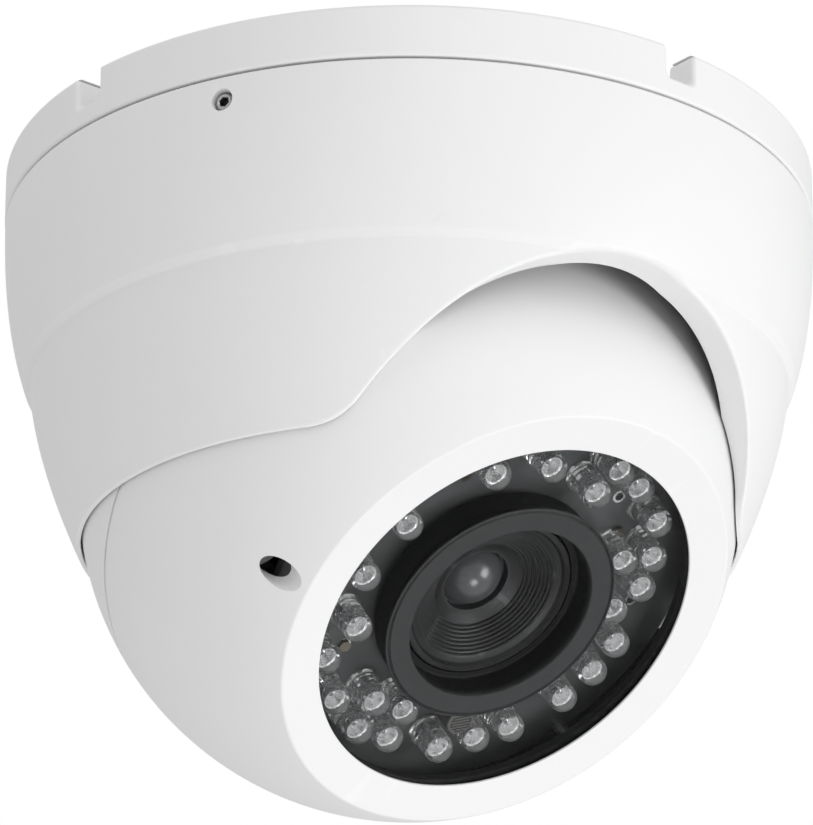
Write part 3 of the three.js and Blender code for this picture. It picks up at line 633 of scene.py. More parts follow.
class DOMECAM_OT_base(bpy.types.Operator):
    """Build the painted base, its rim with cable notches and its ceiling side"""
    bl_idname = "domecam.base"
    bl_label = "Mounting base"

    def execute(self, context):
        s = context.scene.dome_base
        eye = context.scene.dome_eye
        guide = RIM_R - s.guide_gap
        collar = eye.ball_radius + 0.6 * MM
        seat = s.collar_height - 6.1 * MM
        low = s.rim_height
        inner = collar - 2.2 * MM
        profile = rounded([
            (0, 0), (s.hub_radius, 0, 0.6 * MM), (s.hub_radius + 0.6 * MM, -s.recess, 1.2 * MM),
            (RIM_R - s.rim_wall - 0.5 * MM, -s.recess, 1.2 * MM), (RIM_R - s.rim_wall, 0, 0.5 * MM),
            (RIM_R, 0, 0.8 * MM), (RIM_R, -low, 0.5 * MM), (guide, -low, 0.3 * MM),
            (guide, -s.guide_height, 0.5 * MM), (collar + s.collar_wall, -s.guide_height - 1.5 * MM),
            (collar + s.collar_wall, -s.collar_height, 0.3 * MM), (collar, -s.collar_height, 0.3 * MM),
            (collar, -seat), (inner, -seat), (inner, -seat + 2.5 * MM), (collar, -seat + 4.5 * MM, 1 * MM),
            (collar, -s.recess - s.web, 1.5 * MM), (s.hub_radius - s.web, -s.recess - s.web, 1 * MM),
            (s.hub_radius - s.web, -s.web, 1 * MM), (0, -s.web),
        ], 6)
        base = piece("base_casting", *lathe(profile, 240), finish("paint"), "base")
        tools = [notch_cutter(s, BASE_TURN + 90 * i) for i in range(4)]
        floor = -s.recess
        under = floor - 2 * s.web
        tools.append(bored(s.cable_hole, under, floor, (*polar(43 * MM, HOLE_ANGLE), 0), 0.3 * MM))
        for i in range(3):
            place = polar(s.screw_circle, 30 + BASE_TURN + 120 * i)
            tools.append(bored(s.screw_hole, under, floor, (*place, 0), 0.25 * MM, 32))
        cut(base, tools)
        even_shading(base)
        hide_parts("mounting_base")
        return {"FINISHED"}


# ---------------------------------------------------------------- cover

class CoverShape:
    """The cover's outer face, scoop outline and inner limits, as functions of height."""

    def __init__(self, s, eye, base):
        self.s = s
        self.bore = eye.ball_radius + 0.35 * MM
        self.guide = RIM_R - base.guide_gap + 0.3 * MM
        self.top = (RIM_R - s.inset, -(base.rim_height + s.seam))
        self.ridge = (RIM_R - s.ridge_in, BALL_Z + s.ridge_up)
        self.below = (self.ridge[0] - s.ridge_step, self.ridge[1] - s.ridge_step_height)
        self.lip_z = BALL_Z - s.lip_drop
        self.lip_r = math.sqrt(self.bore ** 2 - s.lip_drop ** 2) + s.lip_wall
        upper = curve(self.top, (self.top[0], self.ridge[1] + 11 * MM), self.ridge, 40)
        lower = curve(self.below, (self.below[0] - 1.15 * MM, self.ridge[1] - 12.9 * MM),
                      (self.lip_r, self.lip_z), 40)
        soft = 0.45 * MM
        line = rounded([*upper[:-2], (*self.ridge, soft), (*self.below, soft), *lower[2:]], 6)
        self.z = np.array([p[1] for p in line])[::-1]
        self.r = np.array([p[0] for p in line])[::-1]
        self.centre = BALL_Z + s.scoop_up - s.scoop_radius
        self.fillet_z = self.lip_z + s.scoop_fillet
        reach = s.scoop_radius + s.scoop_fillet
        self.fillet_x = math.sqrt(reach ** 2 - (self.fillet_z - self.centre) ** 2)
        self.meet_z = self.centre + s.scoop_radius * (self.fillet_z - self.centre) / reach

    def radius(self, z):
        return np.interp(z, self.z, self.r)

    def ball(self, z):
        return np.sqrt(np.maximum(self.bore ** 2 - (z - BALL_Z) ** 2, 0))

    def half_width(self, z, out):
        """Half width of the scoop at a height, its outline moved outwards by an amount."""
        s = self.s
        main = np.sqrt(np.maximum((s.scoop_radius + out) ** 2 - (z - self.centre) ** 2, 0))
        fillet = np.maximum(s.scoop_fillet - out, 0)
        run = self.fillet_x - np.sqrt(np.maximum(fillet ** 2 - (z - self.fillet_z) ** 2, 0))
        share = (s.scoop_radius + out) / (s.scoop_radius + s.scoop_fillet)
        return np.where(z > self.centre + (self.fillet_z - self.centre) * share, main, run)

    def edge_height(self, angles, out):
        """Height at which each column meets the scoop or the lip, the edge moved by an amount."""
        low = np.full_like(angles, self.lip_z) + out
        high = self.centre + self.s.scoop_radius + out
        for _ in range(50):
            middle = (low + high) / 2
            inside = self.radius(middle) * np.abs(np.sin(angles)) < self.half_width(middle, out)
            low, high = np.where(inside, middle, low), np.where(inside, high, middle)
        lip = self.lip_z + out
        front = np.cos(angles) > 0
        open_here = self.radius(lip) * np.abs(np.sin(angles)) < self.half_width(lip, out)
        return np.where(front & open_here, high, lip)

    def inwards(self, x, z, out):
        """The point of the outline nearest to one that lies outside it, for each column."""
        s = self.s
        side = np.sign(x)
        ax = np.abs(x)
        on_arc = ax * (self.fillet_z - self.centre) < (z - self.centre) * self.fillet_x
        share = s.scoop_radius / (s.scoop_radius + out)
        ex, ez = ax * share, self.centre + (z - self.centre) * share
        fx, fz = ax - self.fillet_x, z - self.fillet_z
        grow = s.scoop_fillet / np.maximum(s.scoop_fillet - out, 1e-6)
        gx, gz = self.fillet_x + fx * grow, self.fillet_z + fz * grow
        in_fillet = (~on_arc) & (ax < self.fillet_x)
        px = np.where(on_arc, ex, np.where(in_fillet, gx, ax))
        pz = np.where(on_arc, ez, np.where(in_fillet, gz, self.lip_z))
        return px * side, pz


def smoothstep(value, low, high):
    t = np.clip((value - low) / (high - low), 0, 1)
    return t * t * (3 - 2 * t)


def standing(radius, angles, z):
    """A row of points at each column's angle, 0 facing the front."""
    return np.stack([radius * np.sin(angles), -radius * np.cos(angles), z], -1)


def cover_columns():
    """Angles of the columns, closer together at the front where the scoop is."""
    front = np.radians(58)
    return np.concatenate([np.linspace(-front, front, 360), np.linspace(front, TAU - front, 260)[1:-1]])


def outer_rows(shape, s, angles, soft):
    """From the guide under the rim, over the skirt and ridge, down to the scoop and lip."""
    top_r, top_z = shape.top
    corner = 0.45 * MM
    flat = np.ones_like(angles)
    rows = [standing(r * flat, angles, z * flat) for r, z in (
        (shape.guide, top_z - 3 * MM), (shape.guide, top_z - 0.3 * MM), (shape.guide + 0.3 * MM, top_z),
        (top_r - 3 * MM, top_z), (top_r - 1.2 * corner, top_z))]
    for a in np.radians((0, 20, 40, 60, 80)):
        r, z = top_r - corner * (1 - math.sin(a)), top_z - corner * (1 - math.cos(a))
        rows.append(standing(r * flat, angles, z * flat))
    edge = shape.edge_height(angles, soft)
    heights = np.concatenate([
        np.linspace(top_z - corner, shape.ridge[1] + 2.5 * MM, 22),
        np.linspace(shape.ridge[1] + 1.8 * MM, shape.below[1] - 1.2 * MM, 26),
        np.linspace(shape.below[1] - 2 * MM, shape.lip_z + s.lip_round, 30)])
    blend = 0.35 * MM
    last = len(heights) - 1
    for i, height in enumerate(heights):
        over = np.clip((height - edge) / blend, -60, 60)
        z = edge + blend * np.log1p(np.exp(over)) + 0.004 * MM * (last - i)
        z = np.where(over > 40, height, z)
        z = np.where(i == last, edge, np.minimum(z, top_z - corner))
        rows.append(standing(shape.radius(z), angles, z))
    return rows


def edge_rows(shape, s, angles, scoop, soft, last):
    """Round the edge of the scoop and lip, then straight in as far as the tunnel or ball."""
    x, z = shape.inwards(last[:, 0], last[:, 2], soft)
    y = np.sign(last[:, 1]) * np.sqrt(np.maximum(shape.radius(z) ** 2 - x ** 2, 0))
    face = np.stack([x, y, z], -1)
    side = -np.stack([np.sin(angles), -np.cos(angles), np.zeros_like(angles)], -1)
    way = scoop[:, None] * np.array([0.0, 1.0, 0.0]) + (1 - scoop[:, None]) * side
    way /= np.linalg.norm(way, axis=1)[:, None]
    inner_r = np.maximum(shape.radius(z) - s.scoop_depth, shape.ball(z))
    inner_r = np.where(scoop > 0, inner_r, shape.ball(z))
    along = (face[:, :2] * way[:, :2]).sum(1)
    across = (face[:, :2] ** 2).sum(1)
    deep = -along - np.sqrt(np.maximum(along ** 2 - across + inner_r ** 2, 0))
    deep = np.maximum(deep, 0.35 * MM)
    turned_in = face + way * np.minimum(soft, 0.45 * deep)[:, None]
    back = face + way * (deep - 0.12 * MM)[:, None]
    rows = [(1 - t) ** 2 * last + 2 * t * (1 - t) * face + t ** 2 * turned_in
            for t in (0.15, 0.32, 0.5, 0.68, 0.85)]
    rows.append(turned_in)
    rows += [turned_in + (back - turned_in) * t for t in (0.08, 0.35, 0.7, 1.0)]
    return rows, face + way * deep[:, None]


def inner_rows(shape, s, scoop, end):
    """Up the back of the scoop's flange and the ball's bore, then up inside the wall."""
    heading = np.arctan2(end[:, 0], -end[:, 1])
    rise = s.scoop_wall * scoop + (BALL_Z - 1.6 * MM - shape.lip_z) * (1 - scoop)
    steep = np.clip((end[:, 2] - shape.centre) / s.scoop_radius, 0.2, 1)
    rows = []
    for t in (0.0, 0.06, 0.35, 0.7, 1.0):
        z = end[:, 2] + (0.12 * MM + rise * t) * np.where(scoop > 0, steep, 1)
        tunnel_end = np.maximum(shape.radius(z) - s.scoop_depth, shape.ball(z))
        rows.append(standing(np.where(scoop > 0, tunnel_end, shape.ball(z)), heading, z))
    foot = rows[-1]
    heading = np.arctan2(foot[:, 0], -foot[:, 1])
    start = foot[:, 2] + 0.2 * MM
    for t in np.linspace(0, 1, 16):
        z = start + (shape.top[1] - 3 * MM - start) * t
        rows.append(standing(np.maximum(shape.radius(z) - s.wall, shape.ball(z)), heading, z))
    return rows


def cover_points(shape, s):
    """The closed skin of the cover as rows of points, columns running round it."""
    angles = cover_columns()
    facing = np.abs((angles + math.pi) % TAU - math.pi)
    scoop = 1 - smoothstep(facing, math.radians(40), math.radians(52))
    soft = s.lip_round + (s.scoop_round - s.lip_round) * scoop
    outside = outer_rows(shape, s, angles, soft)
    edge, end = edge_rows(shape, s, angles, scoop, soft, outside[-1])
    return np.array([*outside, *edge, *inner_rows(shape, s, scoop, end)])


def screw_side(i, s):
    """Axes of a set screw, from the cover's own, Z pointing out."""
    turn = Matrix.Rotation(math.radians(-150 + 120 * i), 4, "Z")
    return turn @ Matrix.Translation((0, 0, -s.screw_drop)) @ Matrix.Rotation(math.pi / 2, 4, "Y")


class DOMECAM_OT_cover(bpy.types.Operator):
    """Build the painted cover with its ridge, scoop, lip and set screw holes"""
    bl_idname = "domecam.cover"
    bl_label = "Cover"

    def execute(self, context):
        s = context.scene.dome_cover
        shape = CoverShape(s, context.scene.dome_eye, context.scene.dome_base)
        points, faces = grid(cover_points(shape, s), wrap_rows=True)
        cover = piece("cover_casting", points, faces, finish("paint"), "cover", COVER, sharp=50)
        hole = s.screw_radius + 0.3 * MM
        soft = 0.35 * MM
        inside = shape.bore
        out = RIM_R - s.inset
        drill = lathe([(0, inside), (hole, inside), (hole, out - soft), (hole + 0.1 * MM, out - 0.4 * soft),
                       (hole + 0.45 * soft, out), (hole + 2 * soft, out + soft), (0, out + soft)], 40)
        tools = [placed(drill, screw_side(i, s)) for i in range(3)]
        cut(cover, tools, COVER, 50)
        even_shading(cover)
        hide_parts("cover_shell")
        return {"FINISHED"}


def set_screw(radius, length):
    """Points and faces of a threaded set screw along Z, its socket end at height 0."""
    body = [(0, -length), (radius * 0.6, -length), (radius, -length + 0.4 * radius)]
    pitch = 0.5 * MM
    for i in range(int((length - radius) / pitch)):
        z = -length + radius * 0.5 + i * pitch
        body += [(radius, z), (radius * 0.9, z + pitch / 2)]
    return lathe([*body, (radius, -0.35 * MM), (radius - 0.3 * MM, 0), (0, 0)], 36)


class DOMECAM_OT_set_screws(bpy.types.Operator):
    """Build the three socket set screws that hold the cover"""
    bl_idname = "domecam.set_screws"
    bl_label = "Set screws"

    def execute(self, context):
        s = context.scene.dome_cover
        hexagon = prism(standing_ring(0.9 * MM, 6, 12), -1.6 * MM, 0.3 * MM)
        lead = lathe([(0, -0.15 * MM), (0.85 * MM, -0.15 * MM), (1.1 * MM, 0.1 * MM), (0, 0.1 * MM)], 24)
        for i in range(3):
            way = COVER @ screw_side(i, s) @ Matrix.Translation((0, 0, RIM_R - 0.9 * MM))
            part = set_screw(s.screw_radius, 5.6 * MM)
            screw = piece(f"cover_set_screw_{i + 1}", *part, finish("steel"), "cover", way)
            cut(screw, [hexagon, lead], way, 30)
            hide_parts(f"set_screw_{i + 1}")
        return {"FINISHED"}


# ---------------------------------------------------------------- eyeball shells

def eye_places(s):
    """Heights along the optical axis that the window and lamps are set out from."""
    bezel_r = s.window_radius + s.bezel_width
    bezel_top = math.sqrt(s.ball_radius ** 2 - bezel_r ** 2)
    glass_top = bezel_top - s.bezel_dish - s.bezel_lip
    board_top = float(BOARD[:, 2].max()) - s.lamp_height
    return bezel_r, bezel_top, glass_top, board_top


def shell_screw_places():
    return [local_corners(f"shell_screw_{i}", EYE).mean(0)[:2] for i in (1, 2)]


class DOMECAM_OT_eye_shells(bpy.types.Operator):
    """Build both painted half shells of the eyeball and the bezel round the window"""
    bl_idname = "domecam.eye_shells"
    bl_label = "Eyeball shells"

    def execute(self, context):
        s = context.scene.dome_eye
        ball = s.ball_radius
        inside = ball - s.shell
        split = 0.15 * MM
        bezel_r, bezel_top, glass_top, _ = eye_places(s)
        seat = s.window_radius + 2.1 * MM
        back = bezel_top - 5 * MM
        start = math.degrees(math.asin(bezel_r / ball))
        sphere = arc(ball, 0, 90, start, 60)
        inner = arc(inside, 0, math.degrees(math.acos(back / inside)), 90, 24)
        profile = rounded([
            (ball - 0.5 * MM, split), (ball - 0.15 * MM, split), *sphere[1:-1],
            (bezel_r, bezel_top, s.bezel_round), (s.window_radius + 0.9 * MM, bezel_top - s.bezel_dish * 0.9),
            (s.window_radius, bezel_top - s.bezel_dish, 0.25 * MM), (s.window_radius, glass_top + 0.15 * MM),
            (seat, glass_top + 0.15 * MM), (seat, glass_top - 1.5 * MM), (seat + 0.8 * MM, back),
            *inner[:-1], (inside, split),
        ], 8)
        shell = piece("front_shell_casting", *lathe(profile, 256), finish("paint"), "eye", EYE)
        tools = []
        for x, y in shell_screw_places():
            mouth = math.sqrt(ball ** 2 - x ** 2 - y ** 2)
            tools.append(lathe([(0, -MM), (1.6 * MM, -MM), (1.6 * MM, mouth - s.bore_depth),
                                (s.bore_radius, mouth - s.bore_depth), (s.bore_radius, ball), (0, ball)],
                               48, (x, y, 0)))
        buried = math.sqrt((ball - MM) ** 2 - (math.hypot(*shell_screw_places()[0]) + 4.2 * MM) ** 2)
        socket = s.bore_radius + 0.3 * MM
        floor = mouth - s.bore_depth - 0.4 * MM
        outline = [(1.6 * MM, 0.3 * MM), (4.2 * MM, 0.3 * MM), (4.2 * MM, buried), (socket, buried),
                   (socket, floor), (1.6 * MM, floor)]
        bosses = [lathe([*outline, outline[0]], 40, (x, y, 0)) for x, y in shell_screw_places()]
        cut(shell, tools, EYE)
        even_shading(shell)
        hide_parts("front_shell")
        inner_bosses = piece("front_shell_bosses", *merged(bosses), finish("paint"), "eye", EYE)
        self.rear(s)
        return {"FINISHED"}

    def rear(self, s):
        box = local_corners("rear_shell", EYE)
        back = float(box[:, 2].min())
        ball, wall, inside = s.ball_radius, s.shell, s.ball_radius - s.shell
        zone_h = ball * math.cos(math.radians(63.5))
        zone_r = ball * math.sin(math.radians(63.5))
        cup = 38 * MM
        flange = -1.2 * MM
        flange_in = ball - 11.5 * MM + 2.4 * MM
        low = math.degrees(math.acos((zone_h - wall) / inside))
        profile = rounded([
            (5.3 * MM, back), (cup, back, 2 * MM), (cup + 2 * MM, -zone_h - 2 * MM, 2 * MM),
            (zone_r - 2 * MM, -zone_h, 0.8 * MM), *arc(ball, 0, 180 - 63.5, 90.3, 30),
            (ball - 0.5 * MM, -0.15 * MM), (inside, -0.15 * MM), (inside, flange, 0.2 * MM),
            (flange_in, flange, 0.3 * MM), (flange_in, flange - wall, 0.3 * MM),
            (inside - 0.4 * MM, flange - wall), *arc(inside, 0, 98, 180 - low, 16),
            (cup + 2 * MM - wall, -zone_h + wall - 2 * MM, 1 * MM), (cup - wall, back + wall, 1 * MM),
            (5.3 * MM, back + wall),
        ], 5)
        shell = turned("rear_shell_casting", profile, finish("paint"), "rear_half", segments=224)
        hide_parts("rear_shell")


class DOMECAM_OT_shell_screws(bpy.types.Operator):
    """Build the two cross-slot screws deep in the front shell's bores"""
    bl_idname = "domecam.shell_screws"
    bl_label = "Shell screws"

    def execute(self, context):
        for i, (x, y) in enumerate(shell_screw_places()):
            box = local_corners(f"shell_screw_{i + 1}", EYE)
            low, high = float(box[:, 2].min()), float(box[:, 2].max())
            under = high - 2 * MM
            pitch = 0.6 * MM
            shank = [(0, low), (0.8 * MM, low)]
            z = low + 0.4 * MM
            while z < under - 8 * MM:
                shank += [(1.25 * MM, z), (1.02 * MM, z + pitch / 2)]
                z += pitch
            profile = [*shank, *rounded([(1.2 * MM, z), (1.2 * MM, under), (2 * MM, under, 0.1 * MM),
                                         (2 * MM, under + 1.2 * MM, 0.5 * MM), (1.2 * MM, high, 0.6 * MM),
                                         (0, high)])]
            body = lathe(profile, 40, (x, y, 0))
            screw = piece(f"eye_shell_screw_{i + 1}", *body, finish("steel"), "eye", EYE)
            slots = []
            for turn in (20, 110):
                blade = slab(-1.3 * MM, 1.3 * MM, 0.28 * MM, high - 0.9 * MM, high + MM)
                way = Matrix.Translation((x, y, 0)) @ Matrix.Rotation(math.radians(turn), 4, "Z")
                slots.append(placed(blade, way))
            cut(screw, slots, EYE, 30)
            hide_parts(f"shell_screw_{i + 1}")
        return {"FINISHED"}


class DOMECAM_OT_window(bpy.types.Operator):
    """Build the flat window pane and the black gasket behind it"""
    bl_idname = "domecam.window"
    bl_label = "Window and gasket"

    def execute(self, context):
        s = context.scene.dome_eye
        low, high = float(WINDOW[:, 2].min()), float(WINDOW[:, 2].max())
        edge = s.window_radius + 1.8 * MM
        profile = rounded([(0, low), (edge, low, 0.2 * MM), (edge, high, 0.2 * MM), (0, high)], 3)
        pane = turned("window_pane", profile, finish("window"), "eye", segments=192)
        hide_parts("window_glass")
        box = local_corners("window_gasket", EYE)
        inner, top = s.window_radius + 0.4 * MM, float(box[:, 2].max())
        foot = float(box[:, 2].min())
        profile = rounded([(inner, foot, 0.3 * MM), (edge, foot, 0.3 * MM), (edge, top, 0.3 * MM),
                           (inner + 0.5 * MM, top, 0.2 * MM), (inner, top - 0.5 * MM, 0.2 * MM)], 4)
        gasket = turned("window_gasket_ring", [*profile, profile[0]], finish("rubber"), "eye", segments=192)
        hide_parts("window_gasket")
        return {"FINISHED"}


# ---------------------------------------------------------------- lamp board

LEAD_T = 0.5 * MM
CUP_UP = 4.9 * MM
PLATED_HOLES = ((26.9, 60), (30.1, 13.3), (27.0, 170), (24.6, 225), (24.6, 315))


def lamp_places():
    """Axis of every lamp, from the tips that stand highest on the board."""
    tips = BOARD[BOARD[:, 2] > BOARD[:, 2].max() - 0.02 * MM]
    places = []
    for x, y, _ in tips:
        if all(math.hypot(x - a, y - b) > MM for a, b in places):
            places.append((float(x), float(y)))
    return sorted(places)


def lamp_resin(s, top, place):
    """Clear body of one lamp: collar, barrel and dome."""
    r = s.lamp_radius
    spring = top + s.lamp_height - r
    profile = [(0, top + 0.05 * MM), (r + 0.35 * MM, top + 0.05 * MM), (r + 0.38 * MM, top + 0.12 * MM),
               (r + 0.38 * MM, top + 0.85 * MM), (r + 0.3 * MM, top + 0.95 * MM), (r, top + MM),
               *[(r * math.sin(a), spring + r * math.cos(a)) for a in np.linspace(math.pi / 2, 0, 10)]]
    profile[-1] = (0, profile[-1][1])
    return lathe(profile, 28, place)


def lamp_way(place, turn):
    """Axes of one lamp's inner parts."""
    return Matrix.Translation((*place, 0)) @ Matrix.Rotation(turn, 4, "Z")


def lamp_frame(top, place, turn):
    """Lead frame inside one lamp: cup on its anvil, and the thinner post beside it."""
    rim = top + CUP_UP
    cup = lathe([(0, rim - 1.5 * MM), (0.75 * MM, rim - 1.5 * MM), (1.2 * MM, rim), (1.0 * MM, rim),
                 (0.5 * MM, rim - 0.75 * MM), (0, rim - 0.75 * MM)], 18)
    half = LEAD_T / 2
    anvil = slab(-0.75 * MM, 0.85 * MM, half, rim - 2.7 * MM, rim - 1.45 * MM)
    leg = slab(0.1 * MM, 0.65 * MM, half, top + 0.3 * MM, rim - 2.6 * MM)
    post = slab(-1.6 * MM, -1.1 * MM, half, top + 0.3 * MM, rim - 0.7 * MM)
    knee = slab(-1.75 * MM, -0.95 * MM, half, rim - 2.3 * MM, rim - 1.9 * MM)
    return placed(merged([cup, anvil, leg, post, knee]), lamp_way(place, turn))


def lamp_chip(top, place, turn):
    """Emitting chip in the cup, with its bond wire over to the post."""
    rim = top + CUP_UP
    half = 0.17 * MM
    wire = 0.03 * MM
    chip = slab(-half, half, half, rim - 0.74 * MM, rim - 0.5 * MM)
    sections = []
    for t in np.linspace(0, 1, 9):
        x = -1.35 * MM * t
        z = rim - 0.5 * MM - 0.2 * MM * t + 0.9 * MM * math.sin(math.pi * t) ** 0.8
        sections.append([(x, wire * math.cos(a), z + wire * math.sin(a))
                         for a in np.linspace(0, TAU, 6, endpoint=False)])
    return placed(merged([chip, loft(sections)]), lamp_way(place, turn))


class DOMECAM_OT_lamp_board(bpy.types.Operator):
    """Build the lamp board, its plated holes, the clear lamps and their lead frames"""
    bl_idname = "domecam.lamp_board"
    bl_label = "Lamp board and lamps"

    def execute(self, context):
        s = context.scene.dome_eye
        *_, top = eye_places(s)
        outer = s.window_radius + 5.6 * MM
        profile = rounded([(15.8 * MM, top - 1.6 * MM), (outer, top - 1.6 * MM, 0.1 * MM),
                           (outer, top, 0.1 * MM), (15.8 * MM, top)])
        board = piece("lamp_board_plate", *lathe(profile, 128), finish("board"), "eye", EYE)
        places = [polar(r * MM, a) for r, a in PLATED_HOLES]
        hole = 0.75 * MM
        cut(board, [bored(hole, top - 2 * MM, top, (*p, 0), 0.0, 20) for p in places], EYE)
        even_shading(board)
        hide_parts("led_board")
        low, high, land = top - 1.5 * MM, top + 0.04 * MM, 1.15 * MM
        outline = [(hole, low), (land, low), (land, high), (hole, high)]
        lands = [lathe(outline, 28, (*p, 0)) for p in places]
        rings = piece("plated_hole_lands", *merged(lands), finish("leads"), "eye", EYE)
        chooser = random.Random(7)
        lamps = [(place, chooser.uniform(0, TAU)) for place in lamp_places()]
        resin = piece("lamp_bodies", *merged([lamp_resin(s, top, (*p, 0)) for p, _ in lamps]),
                      finish("resin"), "eye", EYE, 60)
        frames = piece("lamp_lead_frames", *merged([lamp_frame(top, p, t) for p, t in lamps]),
                       finish("leads"), "eye", EYE, 30)
        chips = piece("lamp_chips", *merged([lamp_chip(top, p, t) for p, t in lamps]),
                      finish("chip"), "eye", EYE, 30)
        return {"FINISHED"}


class DOMECAM_OT_light_sensor(bpy.types.Operator):
    """Build the round light sensor with its winding track"""
    bl_idname = "domecam.light_sensor"
    bl_label = "Light sensor"

    def execute(self, context):
        box = local_corners("light_sensor", EYE)
        x, y = (box[:, :2].min(0) + box[:, :2].max(0)) / 2
        low, high = float(box[:, 2].min()), float(box[:, 2].max())
        r = 2.45 * MM
        profile = rounded([(0, low), (r, low, 0.2 * MM), (r, high, 0.35 * MM), (0, high)], 4)
        can = piece("light_sensor_disc", *lathe(profile, 48, (x, y, 0)), finish("sensor_face"), "eye", EYE)
        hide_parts("light_sensor")
        bars = []
        runs = 7
        pitch = 0.56 * MM
        half = 0.09 * MM
        foot, face = high - 0.02 * MM, high + 0.05 * MM
        for i in range(runs):
            v = (i - (runs - 1) / 2) * pitch
            reach = math.sqrt((r - 0.55 * MM) ** 2 - v ** 2)
            bars.append(slab(-reach, reach, half, foot, face, v))
            if i < runs - 1:
                side = 1 if i % 2 else -1
                after = math.sqrt((r - 0.55 * MM) ** 2 - (v + pitch) ** 2)
                ends = sorted((side * min(reach, after), side * (min(reach, after) - 0.2 * MM)))
                bars.append(slab(*ends, pitch / 2, foot, face, v + pitch / 2))
        way = Matrix.Translation((x, y, 0)) @ Matrix.Rotation(0.5, 4, "Z")
        winding = placed(merged(bars), way)
        track = piece("light_sensor_winding", *winding, finish("sensor_track"), "eye", EYE, 30)
        return {"FINISHED"}


# ---------------------------------------------------------------- lens

class DOMECAM_OT_hood(bpy.types.Operator):
    """Build the soft black hood round the lens, with its two fine grooves"""
    bl_idname = "domecam.hood"
    bl_label = "Lens hood"

    def execute(self, context):
        box = local_corners("lens_hood", EYE)
        low, top = float(box[:, 2].min()), float(box[:, 2].max())
        outer = float(np.hypot(box[:, 0], box[:, 1]).max())
        inner, bore = 15.1 * MM, 16.2 * MM
        waist = outer - 0.8 * MM
        profile = rounded([
            (inner, low, 0.15 * MM), (waist, low, 0.3 * MM), (waist, top - 2.1 * MM, 0.1 * MM),
            (waist - 0.5 * MM, top - 1.9 * MM), (waist - 0.5 * MM, top - 1.5 * MM),
            (waist, top - 1.3 * MM, 0.1 * MM), (waist, top - 0.7 * MM),
            (outer, top - 0.5 * MM, 0.1 * MM), (outer, top - 0.12 * MM, 0.1 * MM),
            (outer - 0.25 * MM, top - 0.08 * MM), (outer - 0.45 * MM, top - 0.4 * MM),
            (outer - 0.65 * MM, top - 0.3 * MM), (outer - 0.8 * MM, top, 0.12 * MM),
            (bore + 0.15 * MM, top, 0.1 * MM), (bore, top - 0.4 * MM, 0.1 * MM),
            (bore, low + 1.3 * MM, 0.3 * MM), (inner, low + 1.3 * MM, 0.1 * MM),
        ], 4)
        hood = turned("lens_hood_ring", [*profile, profile[0]], finish("hood"), "front_group", segments=192)
        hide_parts("lens_hood")
        return {"FINISHED"}


def funnel_profile(top, seat, lens_r, glass_r):
    """Inner face of the front cell: plain rim, pale step, fine threads, then a smooth throat."""
    points = [(lens_r - 1.0 * MM, top), (lens_r - 1.4 * MM, top - 0.6 * MM),
              (lens_r - 2.2 * MM, top - 0.8 * MM), (lens_r - 2.4 * MM, top - 1.0 * MM)]
    outer, inner = points[-1][0] - 0.1 * MM, glass_r + 1.7 * MM
    high, low = points[-1][1], seat + 1.1 * MM
    threads = 8
    for i in range(threads):
        t, u = i / threads, (i + 0.55) / threads
        r, z = outer + (inner - outer) * t, high + (low - high) * t
        v, w = outer + (inner - outer) * u, high + (low - high) * u
        points += [(r, z - 0.05 * MM), (v - 0.02 * MM, w + 0.2 * MM), (v, w - 0.05 * MM)]
    points += [(inner, low), (glass_r + 0.4 * MM, seat + 0.4 * MM), (glass_r - 0.35 * MM, seat + 0.3 * MM),
               (glass_r - 0.4 * MM, seat - 1.0 * MM)]
    return points


class DOMECAM_OT_front_cell(bpy.types.Operator):
    """Build the front lens cell with its threaded funnel, and the domed front element"""
    bl_idname = "domecam.front_cell"
    bl_label = "Front cell and element"

    def execute(self, context):
        s = context.scene.dome_eye
        seat = eye_places(s)[3] - s.seat_drop
        box = local_corners("front_cell", EYE)
        low, top = float(box[:, 2].min()), float(box[:, 2].max())
        lens_r = float(np.hypot(box[:, 0], box[:, 1]).max())
        glass = 6.9 * MM
        throat = 6.1 * MM
        carrier = 12.0 * MM
        shoulder, sleeve = seat - 2 * MM, glass + 0.3 * MM
        profile = [(carrier, low), (carrier, shoulder), (lens_r, shoulder), (lens_r, top - 0.2 * MM),
                   (lens_r - 0.2 * MM, top), *funnel_profile(top, seat, lens_r, throat),
                   (sleeve, seat - 1.0 * MM), (sleeve, low), (carrier, low)]
        cell = turned("front_cell_body", profile, finish("black_metal"), "front_group", segments=160)
        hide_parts("front_cell")
        front = seat - 1.3 * MM
        edge, rise = throat - 0.6 * MM, 3.9 * MM
        cap = arc(1.0, 0, 62, 0, 14)
        cap_r, cap_z = cap[0]
        bulge = [(edge * r / cap_r, front + rise * (z - cap_z) / (1 - cap_z)) for r, z in cap]
        bulge[-1] = (0, bulge[-1][1])
        hollow = [(0, front - 4.2 * MM), (2.6 * MM, front - 4.5 * MM), (4.4 * MM, front - 5.0 * MM)]
        profile = [*hollow, (glass, front - 5 * MM), (glass, front), *bulge]
        element = turned("front_element_glass", profile, finish("element"), "front_group", segments=96)
        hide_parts("front_element")
        self.stop(front, glass)
        return {"FINISHED"}

    def stop(self, front, glass):
        """Black stop with a small opening behind the front element."""
        profile = rounded([(2.1 * MM, front - 6.3 * MM), (glass - 0.2 * MM, front - 6.3 * MM),
                           (glass - 0.2 * MM, front - 5.4 * MM), (4.6 * MM, front - 5.4 * MM),
                           (2.1 * MM, front - 6.1 * MM)])
        ring = turned("lens_stop", [*profile, profile[0]], finish("black_metal"), "front_group", segments=64)


